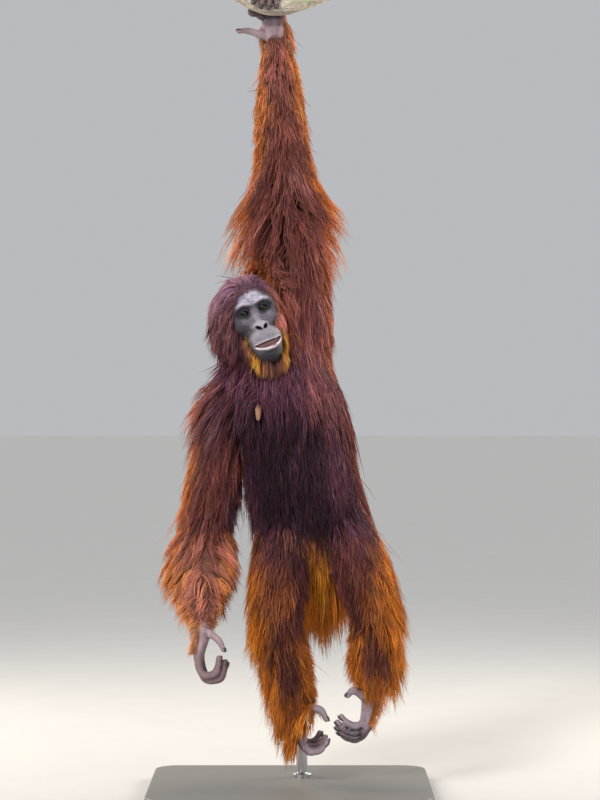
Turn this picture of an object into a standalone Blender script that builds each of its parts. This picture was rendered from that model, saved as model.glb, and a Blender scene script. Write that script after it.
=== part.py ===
"""A life-size adult orangutan, hanging by its left arm from a short cut branch, on a plain display stand.

Metres, +Z up. The animal faces -Y and the origin is the middle of the stand's underside. "Left" and
"right" in a node's name are the animal's own sides, so its left arm is towards +X.

Limbs and trunk are lofted through named sections. The head and trunk are then melted into one smooth form,
and the long coat is made of flat tapered locks that lie along the body and are fused to their node.
"""

import math
import random
from dataclasses import dataclass

import bmesh
import bpy
import numpy as np
from mathutils import Matrix, Vector
from mathutils.bvhtree import BVHTree

# ---------------------------------------------------------------- driving dimensions

GAP = 0.0003                    # what touching pieces keep between them
SEED = 41                       # the coat's random draws start from this

BASE_SIZE = (0.70, 0.56, 0.030)  # stand base: width, depth, thickness
BASE_CORNER = 0.060
BASE_EDGE = 0.004
ROD_RADIUS = 0.014
ROD_PLACE = (0.030, 0.086)      # behind the right leg, up into the rump
ROD_TOP = 0.655

FRONT = Vector((0, -1, 0))      # the way the animal faces
DOWN = Vector((0, 0, -1))

# Sections are (x, y, z, half width, half depth).
TRUNK = (
    (0.066, 0.050, 0.578, 0.050, 0.046),
    (0.062, 0.044, 0.615, 0.100, 0.086),
    (0.056, 0.034, 0.690, 0.132, 0.110),
    (0.036, 0.014, 0.780, 0.134, 0.118),
    (0.014, 0.006, 0.870, 0.136, 0.120),
    (-0.006, 0.012, 0.960, 0.142, 0.114),
    (-0.026, 0.026, 1.040, 0.132, 0.098),
    (-0.036, 0.038, 1.105, 0.098, 0.074),
    (-0.040, 0.044, 1.140, 0.050, 0.044),
)
CHEST = ((-0.012, -0.030, 0.975), (0.125, 0.085, 0.080))  # middle and half sizes
NECK = (
    (-0.038, 0.034, 1.075, 0.062, 0.056),
    (-0.058, 0.012, 1.130, 0.062, 0.056),
    (-0.086, -0.012, 1.185, 0.056, 0.054),
)
ARM_LEFT = (
    (0.022, 0.046, 1.095, 0.056, 0.054),
    (0.036, 0.046, 1.175, 0.064, 0.060),
    (0.024, 0.042, 1.320, 0.062, 0.056),
    (-0.004, 0.034, 1.450, 0.056, 0.050),
    (-0.012, 0.030, 1.515, 0.052, 0.048),
    (-0.018, 0.026, 1.600, 0.051, 0.047),
    (-0.025, 0.018, 1.730, 0.044, 0.040),
    (-0.032, 0.010, 1.868, 0.029, 0.022),
    (-0.036, 0.010, 1.900, 0.037, 0.019),
    (-0.040, 0.006, 1.936, 0.038, 0.014),
)
ARM_RIGHT = (
    (-0.098, 0.020, 1.030, 0.056, 0.054),
    (-0.136, 0.006, 0.985, 0.062, 0.058),
    (-0.166, 0.012, 0.870, 0.059, 0.055),
    (-0.192, 0.024, 0.760, 0.053, 0.049),
    (-0.206, 0.030, 0.690, 0.049, 0.046),
    (-0.211, -0.006, 0.620, 0.048, 0.045),
    (-0.212, -0.076, 0.530, 0.041, 0.038),
    (-0.209, -0.146, 0.444, 0.027, 0.022),
    (-0.214, -0.158, 0.408, 0.019, 0.034),
    (-0.221, -0.158, 0.366, 0.013, 0.036),
)
LEG_RIGHT = (
    (0.000, 0.016, 0.735, 0.052, 0.066),
    (-0.012, 0.000, 0.680, 0.062, 0.070),
    (-0.022, -0.060, 0.580, 0.062, 0.064),
    (-0.030, -0.112, 0.480, 0.052, 0.055),
    (-0.028, -0.110, 0.440, 0.048, 0.052),
    (-0.008, -0.075, 0.345, 0.045, 0.048),
    (0.018, -0.034, 0.246, 0.031, 0.033),
    (0.018, -0.024, 0.196, 0.023, 0.038),
    (0.028, -0.028, 0.146, 0.015, 0.036),
)
LEG_LEFT = (
    (0.118, 0.016, 0.735, 0.052, 0.066),
    (0.132, 0.000, 0.680, 0.062, 0.070),
    (0.166, -0.060, 0.590, 0.062, 0.064),
    (0.198, -0.112, 0.500, 0.052, 0.055),
    (0.203, -0.110, 0.462, 0.048, 0.052),
    (0.206, -0.076, 0.370, 0.045, 0.048),
    (0.202, -0.036, 0.284, 0.031, 0.033),
    (0.201, -0.028, 0.230, 0.023, 0.037),
    (0.187, -0.030, 0.172, 0.015, 0.036),
)
ELBOW, WRIST, KNUCKLES = 4, 7, 9  # where an arm's sections part it, and where its palm ends
KNEE, ANKLE, TOE_ROOTS = 4, 6, 8  # where a leg's sections part it, and where its sole ends

NIPPLE = (
    (-0.076, -0.070, 0.974, 0.0090, 0.0090),
    (-0.077, -0.112, 0.969, 0.0078, 0.0078),
    (-0.077, -0.134, 0.960, 0.0066, 0.0066),
    (-0.077, -0.142, 0.946, 0.0056, 0.0056),
    (-0.077, -0.143, 0.938, 0.0022, 0.0022),
)

PERCH = (
    (-0.270, -0.034, 2.062, 0.025, 0.025),
    (-0.200, -0.032, 2.034, 0.023, 0.023),
    (-0.135, -0.028, 2.003, 0.022, 0.022),
    (-0.085, -0.024, 1.975, 0.022, 0.022),
    (-0.040, -0.020, 1.964, 0.021, 0.021),
    (0.010, -0.012, 1.972, 0.021, 0.021),
    (0.075, 0.004, 1.996, 0.020, 0.020),
    (0.145, 0.020, 2.026, 0.019, 0.019),
)

# The head's own frame: origin midway between the pupils, x towards the animal's left, y back, z up.
EYE_LINE = (-0.088, -0.104, 1.205)
HEAD_TURN, HEAD_ROLL = math.radians(10.5), math.radians(20)
PUPIL_GAP = 0.049
EYE_RADIUS = 0.0125
EYE_DEPTH = 0.0120              # how far the eye's middle lies behind the pupils' plane
LID = 0.0026                    # thickness of a lid over the eye
APERTURE = (0.0105, 0.014, 0.0056)  # half sizes of the opening between the lids

# Forms of the head in its own frame: middle, half sizes, tip forwards in degrees, and how softly each joins
# those before it. A form off the middle stands on both sides.
HEAD_FORMS = (
    ((0.0, 0.078, 0.022), (0.073, 0.083, 0.064), 0, 0.001),        # cranium
    ((0.0, 0.034, 0.018), (0.058, 0.036, 0.042), -12, 0.012),      # forehead
    ((0.0, 0.046, -0.030), (0.060, 0.046, 0.056), 0, 0.012),       # face behind the sockets
    ((0.0, 0.060, -0.078), (0.056, 0.056, 0.050), 0, 0.020),       # throat and angle of the jaw
    ((0.0, 0.006, -0.078), (0.044, 0.058, 0.037), 6, 0.014),       # muzzle
    ((0.0, -0.020, -0.067), (0.036, 0.030, 0.021), 0, 0.012),      # upper lip
    ((0.0, 0.002, -0.110), (0.034, 0.044, 0.026), -10, 0.012),     # chin
    ((0.040, 0.020, -0.028), (0.020, 0.022, 0.018), 0, 0.012),     # cheekbone
    ((0.0, -0.008, -0.040), (0.019, 0.018, 0.012), 0, 0.010),      # nose
    ((0.0072, -0.022, -0.0450), (0.0082, 0.0085, 0.0062), 0, 0.005),  # its wing
)
BROW = ((0.000, 0.003, 0.014), (0.013, -0.004, 0.021), (0.028, -0.005, 0.025), (0.042, 0.004, 0.019),
        (0.051, 0.014, 0.004), (0.047, 0.014, -0.012), (0.034, 0.006, -0.019))
BROW_RADIUS = 0.0072
BRIDGE = ((0.0, 0.007, 0.012), (0.0, 0.005, -0.010), (0.0, -0.006, -0.034))
BRIDGE_RADIUS = 0.0058
SOCKET = ((0.0245, -0.010, 0.003), (0.0175, 0.012, 0.0135))  # the hollow round an eye, before its lids

NOSTRIL, NOSTRIL_SIZE, NOSTRIL_TURN = (0.0072, -0.0320, -0.0462), (0.0056, 0.0080, 0.0026), math.radians(-43)

# The mouth's line, from its right corner to its left: x, and z of its upper and lower edge.
MOUTH = ((-0.034, -0.0850, -0.0866), (-0.024, -0.0838, -0.0930), (-0.008, -0.0826, -0.0976),
         (0.010, -0.0818, -0.0972), (0.026, -0.0812, -0.0916), (0.036, -0.0806, -0.0824))
MOUTH_DEPTH = 0.020
TONGUE = ((0.004, -0.034, -0.0975), (0.024, 0.020, 0.0055), -4)  # middle, half sizes, turn in degrees
LIP = 0.0042


# ---------------------------------------------------------------- scene and materials

def clear_scene():
    """Removes what a new scene holds."""
    for obj in list(bpy.data.objects):
        bpy.data.objects.remove(obj, do_unlink=True)


def collection(name, hidden=False):
    """A collection of this name under the scene, hidden in renders where it holds helpers."""
    made = bpy.data.collections.new(name)
    bpy.context.scene.collection.children.link(made)
    made.hide_render = hidden
    return made


def material(name, colour, roughness, metallic=0.0):
    """A Principled material of one colour."""
    made = bpy.data.materials.new(name)
    made.use_nodes = True
    shader = made.node_tree.nodes["Principled BSDF"]
    shader.inputs["Base Color"].default_value = (*colour, 1.0)
    shader.inputs["Roughness"].default_value = roughness
    shader.inputs["Metallic"].default_value = metallic
    return made


def mesh_object(name, vertices, faces):
    """A mesh object in the parts collection, its faces turned outwards."""
    mesh = bpy.data.meshes.new(name)
    mesh.from_pydata([tuple(v) for v in vertices], [], faces)
    shape = bmesh.new()
    shape.from_mesh(mesh)
    bmesh.ops.recalc_face_normals(shape, faces=shape.faces)
    shape.to_mesh(mesh)
    shape.free()
    made = bpy.data.objects.new(name, mesh)
    PARTS.objects.link(made)
    return made


def discard(obj):
    """Removes a helper and its mesh."""
    mesh = obj.data
    bpy.data.objects.remove(obj, do_unlink=True)
    bpy.data.meshes.remove(mesh)


# ---------------------------------------------------------------- lofts

def section(stations, u):
    """The section at u along the stations, where whole numbers are the stations themselves."""
    last = len(stations) - 1
    i = min(max(int(u), 0), last - 1)
    t = u - i
    p0, p1, p2, p3 = (stations[min(max(k, 0), last)] for k in (i - 1, i, i + 1, i + 2))
    return [
        0.5 * (2 * b + (c - a) * t + (2 * a - 5 * b + 4 * c - d) * t * t
               + (3 * b - a - 3 * c + d) * t ** 3)
        for a, b, c, d in zip(p0, p1, p2, p3)
    ]


@dataclass(frozen=True)
class Ring:
    """A section's place: its middle, the way along, across and to the front, and its half sizes."""

    middle: Vector
    along: Vector
    across: Vector
    front: Vector
    half_width: float
    half_depth: float

    def point(self, angle, grow=0.0):
        return (self.middle + self.across * (math.cos(angle) * (self.half_width + grow))
                + self.front * (math.sin(angle) * (self.half_depth + grow)))


def ring_at(stations, u, reference=FRONT):
    """The ring at u, squared to the path, its front turned as near to the reference as it goes."""
    here = section(stations, u)
    before = Vector(section(stations, max(u - 0.02, 0))[:3])
    after = Vector(section(stations, min(u + 0.02, len(stations) - 1))[:3])
    along = (after - before).normalized()
    front = (reference - along * reference.dot(along)).normalized()
    return Ring(Vector(here[:3]), along, along.cross(front), front, here[3], here[4])


def loft(name, stations, start=0.0, end=None, rings=6, sides=10, grow=0.0, trim=(0.0, 0.0), reference=FRONT):
    """A closed form through the stations from start to end, each end cut back along the path by its trim."""
    end = len(stations) - 1 if end is None else end
    vertices = []
    for k in range(rings):
        ring = ring_at(stations, start + (end - start) * k / (rings - 1), reference)
        shift = ring.along * (trim[0] if k == 0 else -trim[1] if k == rings - 1 else 0.0)
        for j in range(sides):
            vertices.append(ring.point(2 * math.pi * j / sides, grow) + shift)
    faces = [tuple(range(sides)), tuple(range((rings - 1) * sides, rings * sides))]
    for k in range(rings - 1):
        for j in range(sides):
            a, b = k * sides + j, k * sides + (j + 1) % sides
            faces += [(a, b, b + sides), (a, b + sides, a + sides)]
    return mesh_object(name, vertices, faces)


def ball(name, middle, radii, frame=Matrix.Identity(4), segments=16, rings=10):
    """An ellipsoid set in a frame."""
    shape = bmesh.new()
    place = frame @ Matrix.Translation(middle) @ Matrix.Diagonal((*radii, 1.0))
    bmesh.ops.create_uvsphere(shape, u_segments=segments, v_segments=rings, radius=1.0, matrix=place)
    mesh = bpy.data.meshes.new(name)
    shape.to_mesh(mesh)
    shape.free()
    made = bpy.data.objects.new(name, mesh)
    PARTS.objects.link(made)
    return made


# ---------------------------------------------------------------- joining and cutting

def settle(obj):
    """Turns an object's modifiers into its mesh."""
    graph = bpy.context.evaluated_depsgraph_get()
    mesh = bpy.data.meshes.new_from_object(obj.evaluated_get(graph))
    old = obj.data
    obj.modifiers.clear()
    obj.data = mesh
    mesh.name = obj.name
    bpy.data.meshes.remove(old)


def keep_largest(obj):
    """Leaves only the mesh's closed surface of most volume."""
    shape = bmesh.new()
    shape.from_mesh(obj.data)
    bmesh.ops.triangulate(shape, faces=shape.faces)
    unseen = set(shape.faces)
    surfaces = []
    while unseen:
        stack = [unseen.pop()]
        surface = []
        while stack:
            face = stack.pop()
            surface.append(face)
            for edge in face.edges:
                for other in edge.link_faces:
                    if other in unseen:
                        unseen.remove(other)
                        stack.append(other)
        volume = sum(f.verts[0].co.dot(f.verts[1].co.cross(f.verts[2].co)) for f in surface) / 6
        surfaces.append((volume, surface))
    surfaces.sort(key=lambda pair: pair[0])
    scraps = [face for _, surface in surfaces[:-1] for face in surface]
    bmesh.ops.delete(shape, geom=scraps, context="FACES")
    shape.to_mesh(obj.data)
    shape.free()


def boolean(obj, others, operation, solver="MANIFOLD"):
    """One Boolean of a collection of closed meshes on obj; the others are removed."""
    group = collection(obj.name + "_pieces", hidden=True)
    for other in others:
        PARTS.objects.unlink(other)
        group.objects.link(other)
    step = obj.modifiers.new(operation.title(), "BOOLEAN")
    step.operation = operation
    step.operand_type = "COLLECTION"
    step.collection = group
    step.solver = solver
    settle(obj)
    for other in others:
        discard(other)
    bpy.data.collections.remove(group)
    keep_largest(obj)
    return obj


def fuse(obj, pieces):
    """Joins closed pieces that overlap obj to it."""
    return boolean(obj, pieces, "UNION") if pieces else obj


def carve(obj, cutters):
    """Takes closed cutters out of obj."""
    return boolean(obj, cutters, "DIFFERENCE")


def room_for(obj, triangles, amount):
    """A plainer copy of a closed mesh, moved out by as much: the room that another piece leaves for it."""
    made = bpy.data.objects.new("room", obj.data.copy())
    PARTS.objects.link(made)
    thin_out(made, triangles)
    for vertex in made.data.vertices:
        vertex.co += vertex.normal * amount
    return made


def melt(name, pieces, voxel, smoothing, triangles):
    """One smooth closed body from overlapping closed pieces, brought to about this many triangles."""
    whole = pieces[0]
    whole.name = name
    shape = bmesh.new()
    for piece in pieces:
        shape.from_mesh(piece.data)
    shape.to_mesh(whole.data)
    shape.free()
    for piece in pieces[1:]:
        discard(piece)
    remesh = whole.modifiers.new("Remesh", "REMESH")
    remesh.mode = "VOXEL"
    remesh.voxel_size = voxel
    smooth = whole.modifiers.new("Smooth", "SMOOTH")
    smooth.factor = 0.5
    smooth.iterations = smoothing
    settle(whole)
    return thin_out(whole, triangles)


# ---------------------------------------------------------------- blended forms

def ellipsoid(points, middle, radii, tip=0.0):
    """Near enough the distance of each point outside an ellipsoid tipped forwards."""
    offset = points - np.array(middle)
    if tip:
        c, s = math.cos(math.radians(tip)), math.sin(math.radians(tip))
        y, z = offset[..., 1].copy(), offset[..., 2].copy()
        offset[..., 1], offset[..., 2] = y * c + z * s, z * c - y * s
    size = np.array(radii)
    share = np.sqrt(((offset / size) ** 2).sum(-1))
    slope = np.sqrt(((offset / size ** 2) ** 2).sum(-1)) + 1e-9
    return share * (share - 1) / slope


def string(points, joints, radius):
    """The distance of each point outside a round string through the joints."""
    nearest = None
    for start, end in zip(joints, joints[1:]):
        a, b = np.array(start), np.array(end)
        along = np.clip((points - a) @ (b - a) / ((b - a) @ (b - a)), 0, 1)
        reach = np.linalg.norm(points - a - along[..., None] * (b - a), axis=-1) - radius
        nearest = reach if nearest is None else np.minimum(nearest, reach)
    return nearest


def blend(first, second, soft):
    """The union of two forms, rounded where they meet."""
    share = np.clip(0.5 + 0.5 * (second - first) / soft, 0, 1)
    return second + (first - second) * share - soft * share * (1 - share)


def field_mesh(name, field, low, high, step):
    """The closed surface where a field is zero: a vertex in every cell that it crosses."""
    axes = [np.arange(a, b, step) for a, b in zip(low, high)]
    value = field(np.stack(np.meshgrid(*axes, indexing="ij"), -1))
    cells = tuple(n - 1 for n in value.shape)

    def corner(i, j, k):
        return value[i:cells[0] + i, j:cells[1] + j, k:cells[2] + k]

    total, hits = np.zeros((*cells, 3)), np.zeros(cells)
    for axis in range(3):
        for i in (0, 1):
            for j in (0, 1):
                start = [i, j]
                start.insert(axis, 0)
                end = list(start)
                end[axis] = 1
                a, b = corner(*start), corner(*end)
                crossed = (a < 0) != (b < 0)
                share = np.where(crossed, a / np.where(crossed, a - b, 1), 0)
                place = np.array(start) * np.ones((*cells, 3))
                place[..., axis] = share
                total += place * crossed[..., None]
                hits += crossed
    used = hits > 0
    index = np.full(cells, -1)
    index[used] = np.arange(used.sum())
    corners = (np.argwhere(used) + total[used] / hits[used][:, None]) * step + np.array(low)
    faces = []
    for axis in range(3):
        one, two = [a for a in range(3) if a != axis]
        ends = [slice(1, n - 1) for n in value.shape]
        ends[axis] = slice(0, value.shape[axis] - 1)
        first = value[tuple(ends)] < 0
        ends[axis] = slice(1, value.shape[axis])
        crossed = np.argwhere(first != (value[tuple(ends)] < 0))
        crossed[:, one] += 1
        crossed[:, two] += 1
        ring = []
        for back_one, back_two in ((0, 0), (1, 0), (1, 1), (0, 1)):
            cell = crossed.copy()
            cell[:, one] -= back_one
            cell[:, two] -= back_two
            ring.append(index[tuple(cell.T)])
        faces += np.stack(ring, 1).tolist()
    return mesh_object(name, corners.tolist(), faces)


def thin_out(obj, triangles):
    """Brings a mesh to about this many triangles."""
    count = sum(len(face.vertices) - 2 for face in obj.data.polygons)
    step = obj.modifiers.new("Decimate", "DECIMATE")
    step.ratio = min(1.0, triangles / count)
    step.use_collapse_triangulate = True
    settle(obj)
    keep_largest(obj)
    return obj


# ---------------------------------------------------------------- hands and feet

def digit(name, path, radii, sides=6, reference=FRONT, grow=0.0, rings=6):
    """A finger or toe along a path of joints, its radius given at each."""
    stations = tuple((*place, radius, radius) for place, radius in zip(path, radii))
    return loft(name, stations, rings=rings, sides=sides, grow=grow, reference=reference)


FINGER_LENGTHS = (0.92, 1.0, 0.96, 0.84)   # first to little, as shares of the longest
DIGIT_STEP = 0.0165                        # from one finger's middle to the next


def hooked_hand(name, limb, span, path, spread, thumb, radius, thumb_radius, grow=0.0):
    """A hand or foot that hangs in a hook: palm, four digits side by side along spread, thumb or big toe."""
    spread = Vector(spread).normalized()
    whole = loft(name, limb, *span, rings=4, sides=10, grow=grow, trim=(GAP / 2, 0))
    pieces = []
    root = Vector(path[0])
    for i, share in enumerate(FINGER_LENGTHS):
        side = spread * (DIGIT_STEP * (i - 1.5))
        joints = [root + side * 0.9 + (Vector(p) - root) * share + side * 0.1 for p in path]
        radii = (radius * 1.05, radius, radius * 0.98, radius * 0.9, radius * 0.55)
        pieces.append(digit(f"{name}_digit", joints, radii, grow=grow, rings=6))
    pieces.append(digit(f"{name}_thumb", thumb, thumb_radius, grow=grow, rings=4))
    return fuse(whole, pieces)


def gripping_hand(name, grow=0.0):
    """The raised hand: palm to the front, four fingers over the branch and down its front, thumb aside."""
    whole = loft(name, ARM_LEFT, WRIST, KNUCKLES, 4, 10, grow, (GAP / 2, 0))
    palm_end = ring_at(ARM_LEFT, KNUCKLES).middle
    finger = 0.0088
    pieces = []
    for i, share in enumerate(FINGER_LENGTHS):
        branch = ring_at(PERCH, 2.95 + 0.40 * i)
        up = branch.along.cross(FRONT)
        up = -up if up.z < 0 else up
        reach = branch.half_width + finger + 2 * GAP
        turn = [math.radians(a) for a in (-22, 40, 100, 155, 205, 250 + 25 * (share - 0.9))]
        path = [branch.middle - FRONT * (math.sin(a) * reach) - up * (math.cos(a) * reach) for a in turn]
        path[0] = path[1].lerp(palm_end + branch.along * (DIGIT_STEP * (i - 1.5)), 0.55)
        radii = (finger, finger, finger, finger * 0.96, finger * 0.9, finger * 0.55)
        pieces.append(digit(f"{name}_digit", path, radii, reference=branch.along, grow=grow, rings=8))
    thumb = ((-0.050, 0.004, 1.893), (-0.078, -0.004, 1.899), (-0.106, -0.012, 1.906),
             (-0.128, -0.018, 1.904))
    pieces.append(digit(f"{name}_thumb", thumb, (0.013, 0.010, 0.0075, 0.0055), grow=grow))
    return fuse(whole, pieces)


def hanging_hand(name):
    """The right hand, hanging with its palm inwards and its fingers curled in a hook."""
    path = ((-0.219, -0.158, 0.378), (-0.217, -0.158, 0.330), (-0.200, -0.160, 0.303),
            (-0.168, -0.160, 0.308), (-0.152, -0.158, 0.344))
    thumb = ((-0.214, -0.176, 0.424), (-0.192, -0.188, 0.418), (-0.171, -0.192, 0.402),
             (-0.160, -0.190, 0.380))
    return hooked_hand(name, ARM_RIGHT, (WRIST, KNUCKLES), path, (0.12, 1.0, 0.05), thumb, 0.0092,
                       (0.012, 0.0095, 0.008, 0.0055))


def foot(name, leg, path, spread, hallux):
    """A foot that hangs from its ankle, sole inwards, toes curled and the big toe set apart."""
    return hooked_hand(name, leg, (ANKLE, TOE_ROOTS), path, spread, hallux, 0.0092,
                       (0.013, 0.011, 0.0095, 0.0065))


FOOT_RIGHT = dict(
    leg=LEG_RIGHT,
    path=((0.026, -0.028, 0.158), (0.034, -0.028, 0.130), (0.050, -0.030, 0.117), (0.074, -0.032, 0.122),
          (0.090, -0.034, 0.143)),
    spread=(0.10, 1.0, 0.16),
    hallux=((0.018, -0.040, 0.202), (0.048, -0.066, 0.224), (0.076, -0.070, 0.218), (0.090, -0.068, 0.196)),
)
FOOT_LEFT = dict(
    leg=LEG_LEFT,
    path=((0.190, -0.034, 0.186), (0.178, -0.040, 0.164), (0.158, -0.046, 0.156), (0.134, -0.052, 0.164),
          (0.116, -0.056, 0.180)),
    spread=(0.16, 0.75, -0.62),
    hallux=((0.199, -0.044, 0.236), (0.178, -0.068, 0.256), (0.156, -0.078, 0.268), (0.143, -0.078, 0.256)),
)


# ---------------------------------------------------------------- head

def head_frame():
    """The head's own frame, turned to its left and rolled with the crown towards its right."""
    turn = Matrix.Rotation(HEAD_TURN, 4, "Z")
    roll = Matrix.Rotation(-HEAD_ROLL, 4, "Y")
    return Matrix.Translation(EYE_LINE) @ roll @ turn


def eye_middle(side):
    return Vector((side * PUPIL_GAP / 2, EYE_DEPTH, 0.0))


def both_sides(place):
    """A place off the middle on both sides, or one in the middle once."""
    return [place] if place[0] == 0 else [place, (-place[0], *place[1:])]


def face_field(points):
    """The head without its lips, as a distance field in its own frame."""
    field = None
    for middle, radii, tip, soft in HEAD_FORMS:
        for place in both_sides(middle):
            form = ellipsoid(points, place, radii, tip)
            field = form if field is None else blend(field, form, soft)
    for side in (-1, 1):
        hollow = ellipsoid(points, (side * SOCKET[0][0], *SOCKET[0][1:]), SOCKET[1])
        field = -blend(-field, hollow, 0.006)
        field = blend(field, string(points, [(side * x, y, z) for x, y, z in BROW], BROW_RADIUS), 0.008)
        lids = ellipsoid(points, eye_middle(side), (EYE_RADIUS + LID,) * 3)
        field = blend(field, lids, 0.004)
    return blend(field, string(points, BRIDGE, BRIDGE_RADIUS), 0.008)


def front_of(x, z):
    """How far forward the face reaches at x and z of the head's frame."""
    depths = np.arange(-0.085, 0.040, 0.0005)
    line = np.stack([np.full_like(depths, x), depths, np.full_like(depths, z)], -1)
    return float(depths[np.argmax(face_field(line) < 0)])


def head_field(points):
    """The whole head with its lips."""
    field = face_field(points)
    for edge, rise in ((1, 0.6), (2, -0.6)):
        joints = [(row[0], front_of(row[0], row[edge]) + LIP * 0.45, row[edge] + LIP * rise) for row in MOUTH]
        field = blend(field, string(points, joints, LIP), 0.003)
    return field


def mouth_cutter(name, frame, grow=0.0):
    """What the open mouth takes out of the head: a bowed slot between its two edges."""
    corners = []
    for x, top, low in MOUTH:
        front = front_of(x, (top + low) / 2) - 0.012
        back = front + 0.012 + MOUTH_DEPTH
        corners += [frame @ Vector(p)
                    for p in ((x, front, low), (x, front, top), (x, back, top), (x, back, low))]
    last = 4 * (len(MOUTH) - 1)
    faces = [(0, 1, 2, 3), (last + 3, last + 2, last + 1, last)]
    for k in range(0, last, 4):
        for j in range(4):
            faces.append((k + j, k + (j + 1) % 4, k + 4 + (j + 1) % 4, k + 4 + j))
    return mesh_object(name, corners, faces)


def tongue(name, frame, grow=0.0):
    """The tongue, low in the mouth and half sunk in its floor."""
    middle, size, turn = TONGUE
    place = frame @ Matrix.Translation(middle) @ Matrix.Rotation(math.radians(turn), 4, "Y")
    return ball(name, (0, 0, 0), [half + grow for half in size], place, 8, 5)


def head(frame):
    """The head with its face; sockets, nostrils and the open mouth are cut in."""
    whole = field_mesh("head", head_field, (-0.085, -0.075, -0.145), (0.085, 0.170, 0.096), 0.003)
    whole.data.transform(frame)
    thin_out(whole, 1150)
    cutters = [mouth_cutter("mouth", frame)]
    for side in (-1, 1):
        cutters.append(ball("socket", eye_middle(side), (EYE_RADIUS + GAP,) * 3, frame, 10, 6))
        opening = frame @ Matrix.Translation(eye_middle(side) + Vector((0, -0.012, 0.0))) @ Matrix.Rotation(
            side * math.radians(-6), 4, "Y")
        cutters.append(ball("aperture", (0, 0, 0), APERTURE, opening, 10, 6))
        slant = frame @ Matrix.Translation((side * NOSTRIL[0], *NOSTRIL[1:])) @ Matrix.Rotation(
            side * NOSTRIL_TURN, 4, "Y")
        cutters.append(ball("nostril", (0, 0, 0), NOSTRIL_SIZE, slant, 8, 6))
    return carve(whole, cutters)


def ear(name, frame, side, grow=0.0):
    """A small round ear, cupped on its outer face."""
    place = frame @ Matrix.Translation((side * 0.080, 0.074, -0.006)) @ Matrix.Rotation(side * -0.45, 4, "Z")
    shell = ball(name, (0, 0, 0), (0.0085 + grow, 0.0150 + grow, 0.0200 + grow), place, 10, 6)
    if grow:
        return shell
    return carve(shell, [ball("cup", (side * 0.0075, -0.001, 0.001), (0.0070, 0.0100, 0.0145), place, 8, 5)])


# ---------------------------------------------------------------- stand and perch

def stand_base():
    """A rounded slab, flat underneath."""
    width, depth, thick = BASE_SIZE
    outline = []
    for corner_x, corner_y, first in ((1, 1, 0), (-1, 1, 90), (-1, -1, 180), (1, -1, 270)):
        for k in range(5):
            angle = math.radians(first + 22.5 * k)
            outline.append((corner_x * (width / 2 - BASE_CORNER) + BASE_CORNER * math.cos(angle),
                            corner_y * (depth / 2 - BASE_CORNER) + BASE_CORNER * math.sin(angle)))
    count = len(outline)
    vertices = [(x, y, 0.0) for x, y in outline]
    vertices += [(x, y, thick - BASE_EDGE) for x, y in outline]
    share = 1 - BASE_EDGE / (width / 2)
    vertices += [(x * share, y * share, thick) for x, y in outline]
    faces = [tuple(range(count)), tuple(range(2 * count, 3 * count))]
    for k in range(2):
        for j in range(count):
            a, b = k * count + j, k * count + (j + 1) % count
            faces.append((a, b, b + count, a + count))
    return mesh_object("stand_base", vertices, faces)


def nipple():
    """The one nipple that the coat leaves bare, hanging from the right breast."""
    return loft("nipple", NIPPLE, rings=5, sides=7)


def rod(name, radius, low, high):
    """A plain round rod, upright."""
    shape = bmesh.new()
    place = Matrix.Translation((*ROD_PLACE, (low + high) / 2))
    bmesh.ops.create_cone(shape, cap_ends=True, segments=20, radius1=radius, radius2=radius,
                          depth=high - low, matrix=place)
    mesh = bpy.data.meshes.new(name)
    shape.to_mesh(mesh)
    shape.free()
    made = bpy.data.objects.new(name, mesh)
    PARTS.objects.link(made)
    return made


def perch():
    """A cut length of a bowed branch, a little lumpy, its ends sawn square."""
    draw = random.Random(SEED)
    whole = loft("perch", PERCH, rings=12, sides=8)
    for vertex in whole.data.vertices:
        vertex.co += vertex.normal * draw.uniform(-0.0016, 0.0010)
    return carve(whole, [gripping_hand("grip", grow=GAP)])


# ---------------------------------------------------------------- limbs and neck

def upper_limb(name, limb, end, grow=0.0):
    """An upper arm or a thigh, from its root inside the trunk to the elbow or knee."""
    return loft(name, limb, 0, end, 8, 10, grow, (-grow, GAP / 2))


def neck(name, grow=0.0):
    """The neck, from inside the trunk to inside the head."""
    return loft(name, NECK, 0, 2, 5, 12, grow, (-grow, -grow))


# ---------------------------------------------------------------- coat

# A lock's rings: where each lies along it, and its width and thickness as shares of the most.
SHORT_LOCK = ((0.0, 0.60, 1.00), (0.40, 1.00, 0.90))
PLAIN_LOCK = ((0.0, 0.55, 1.00), (0.20, 0.95, 1.00), (0.62, 0.90, 0.85))
BENT_LOCK = ((0.0, 0.55, 1.00), (0.15, 0.90, 1.00), (0.40, 1.00, 0.95), (0.70, 0.80, 0.75))
LOCK_THICKNESS = 0.0052                         # from a lock's flat side to its ridge
LOCK_LIFT = 0.006                               # how far its middle lies off the body where it comes out
LOCK_ROOM = 0.0006                              # what a lock keeps clear of the other nodes
LOCK_SINK = 0.010
CLEARING_TRIES = 6                              # times a lock is bent further off before it is left out


@dataclass(frozen=True)
class Growth:
    """How the coat grows on one stretch of a limb or the trunk.

    span is the stretch along the stations. sweep is the bearing round it in degrees: 0 is the animal's left,
    90 its front. heading gives the shares of along, outwards and down in the way a lock sets off.
    """

    node: str
    stations: tuple
    span: tuple
    sweep: tuple
    rows: int
    around: int
    length: float
    width: float
    heading: tuple
    stand: float
    sag: float = 0.6
    rings: tuple = PLAIN_LOCK


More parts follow.
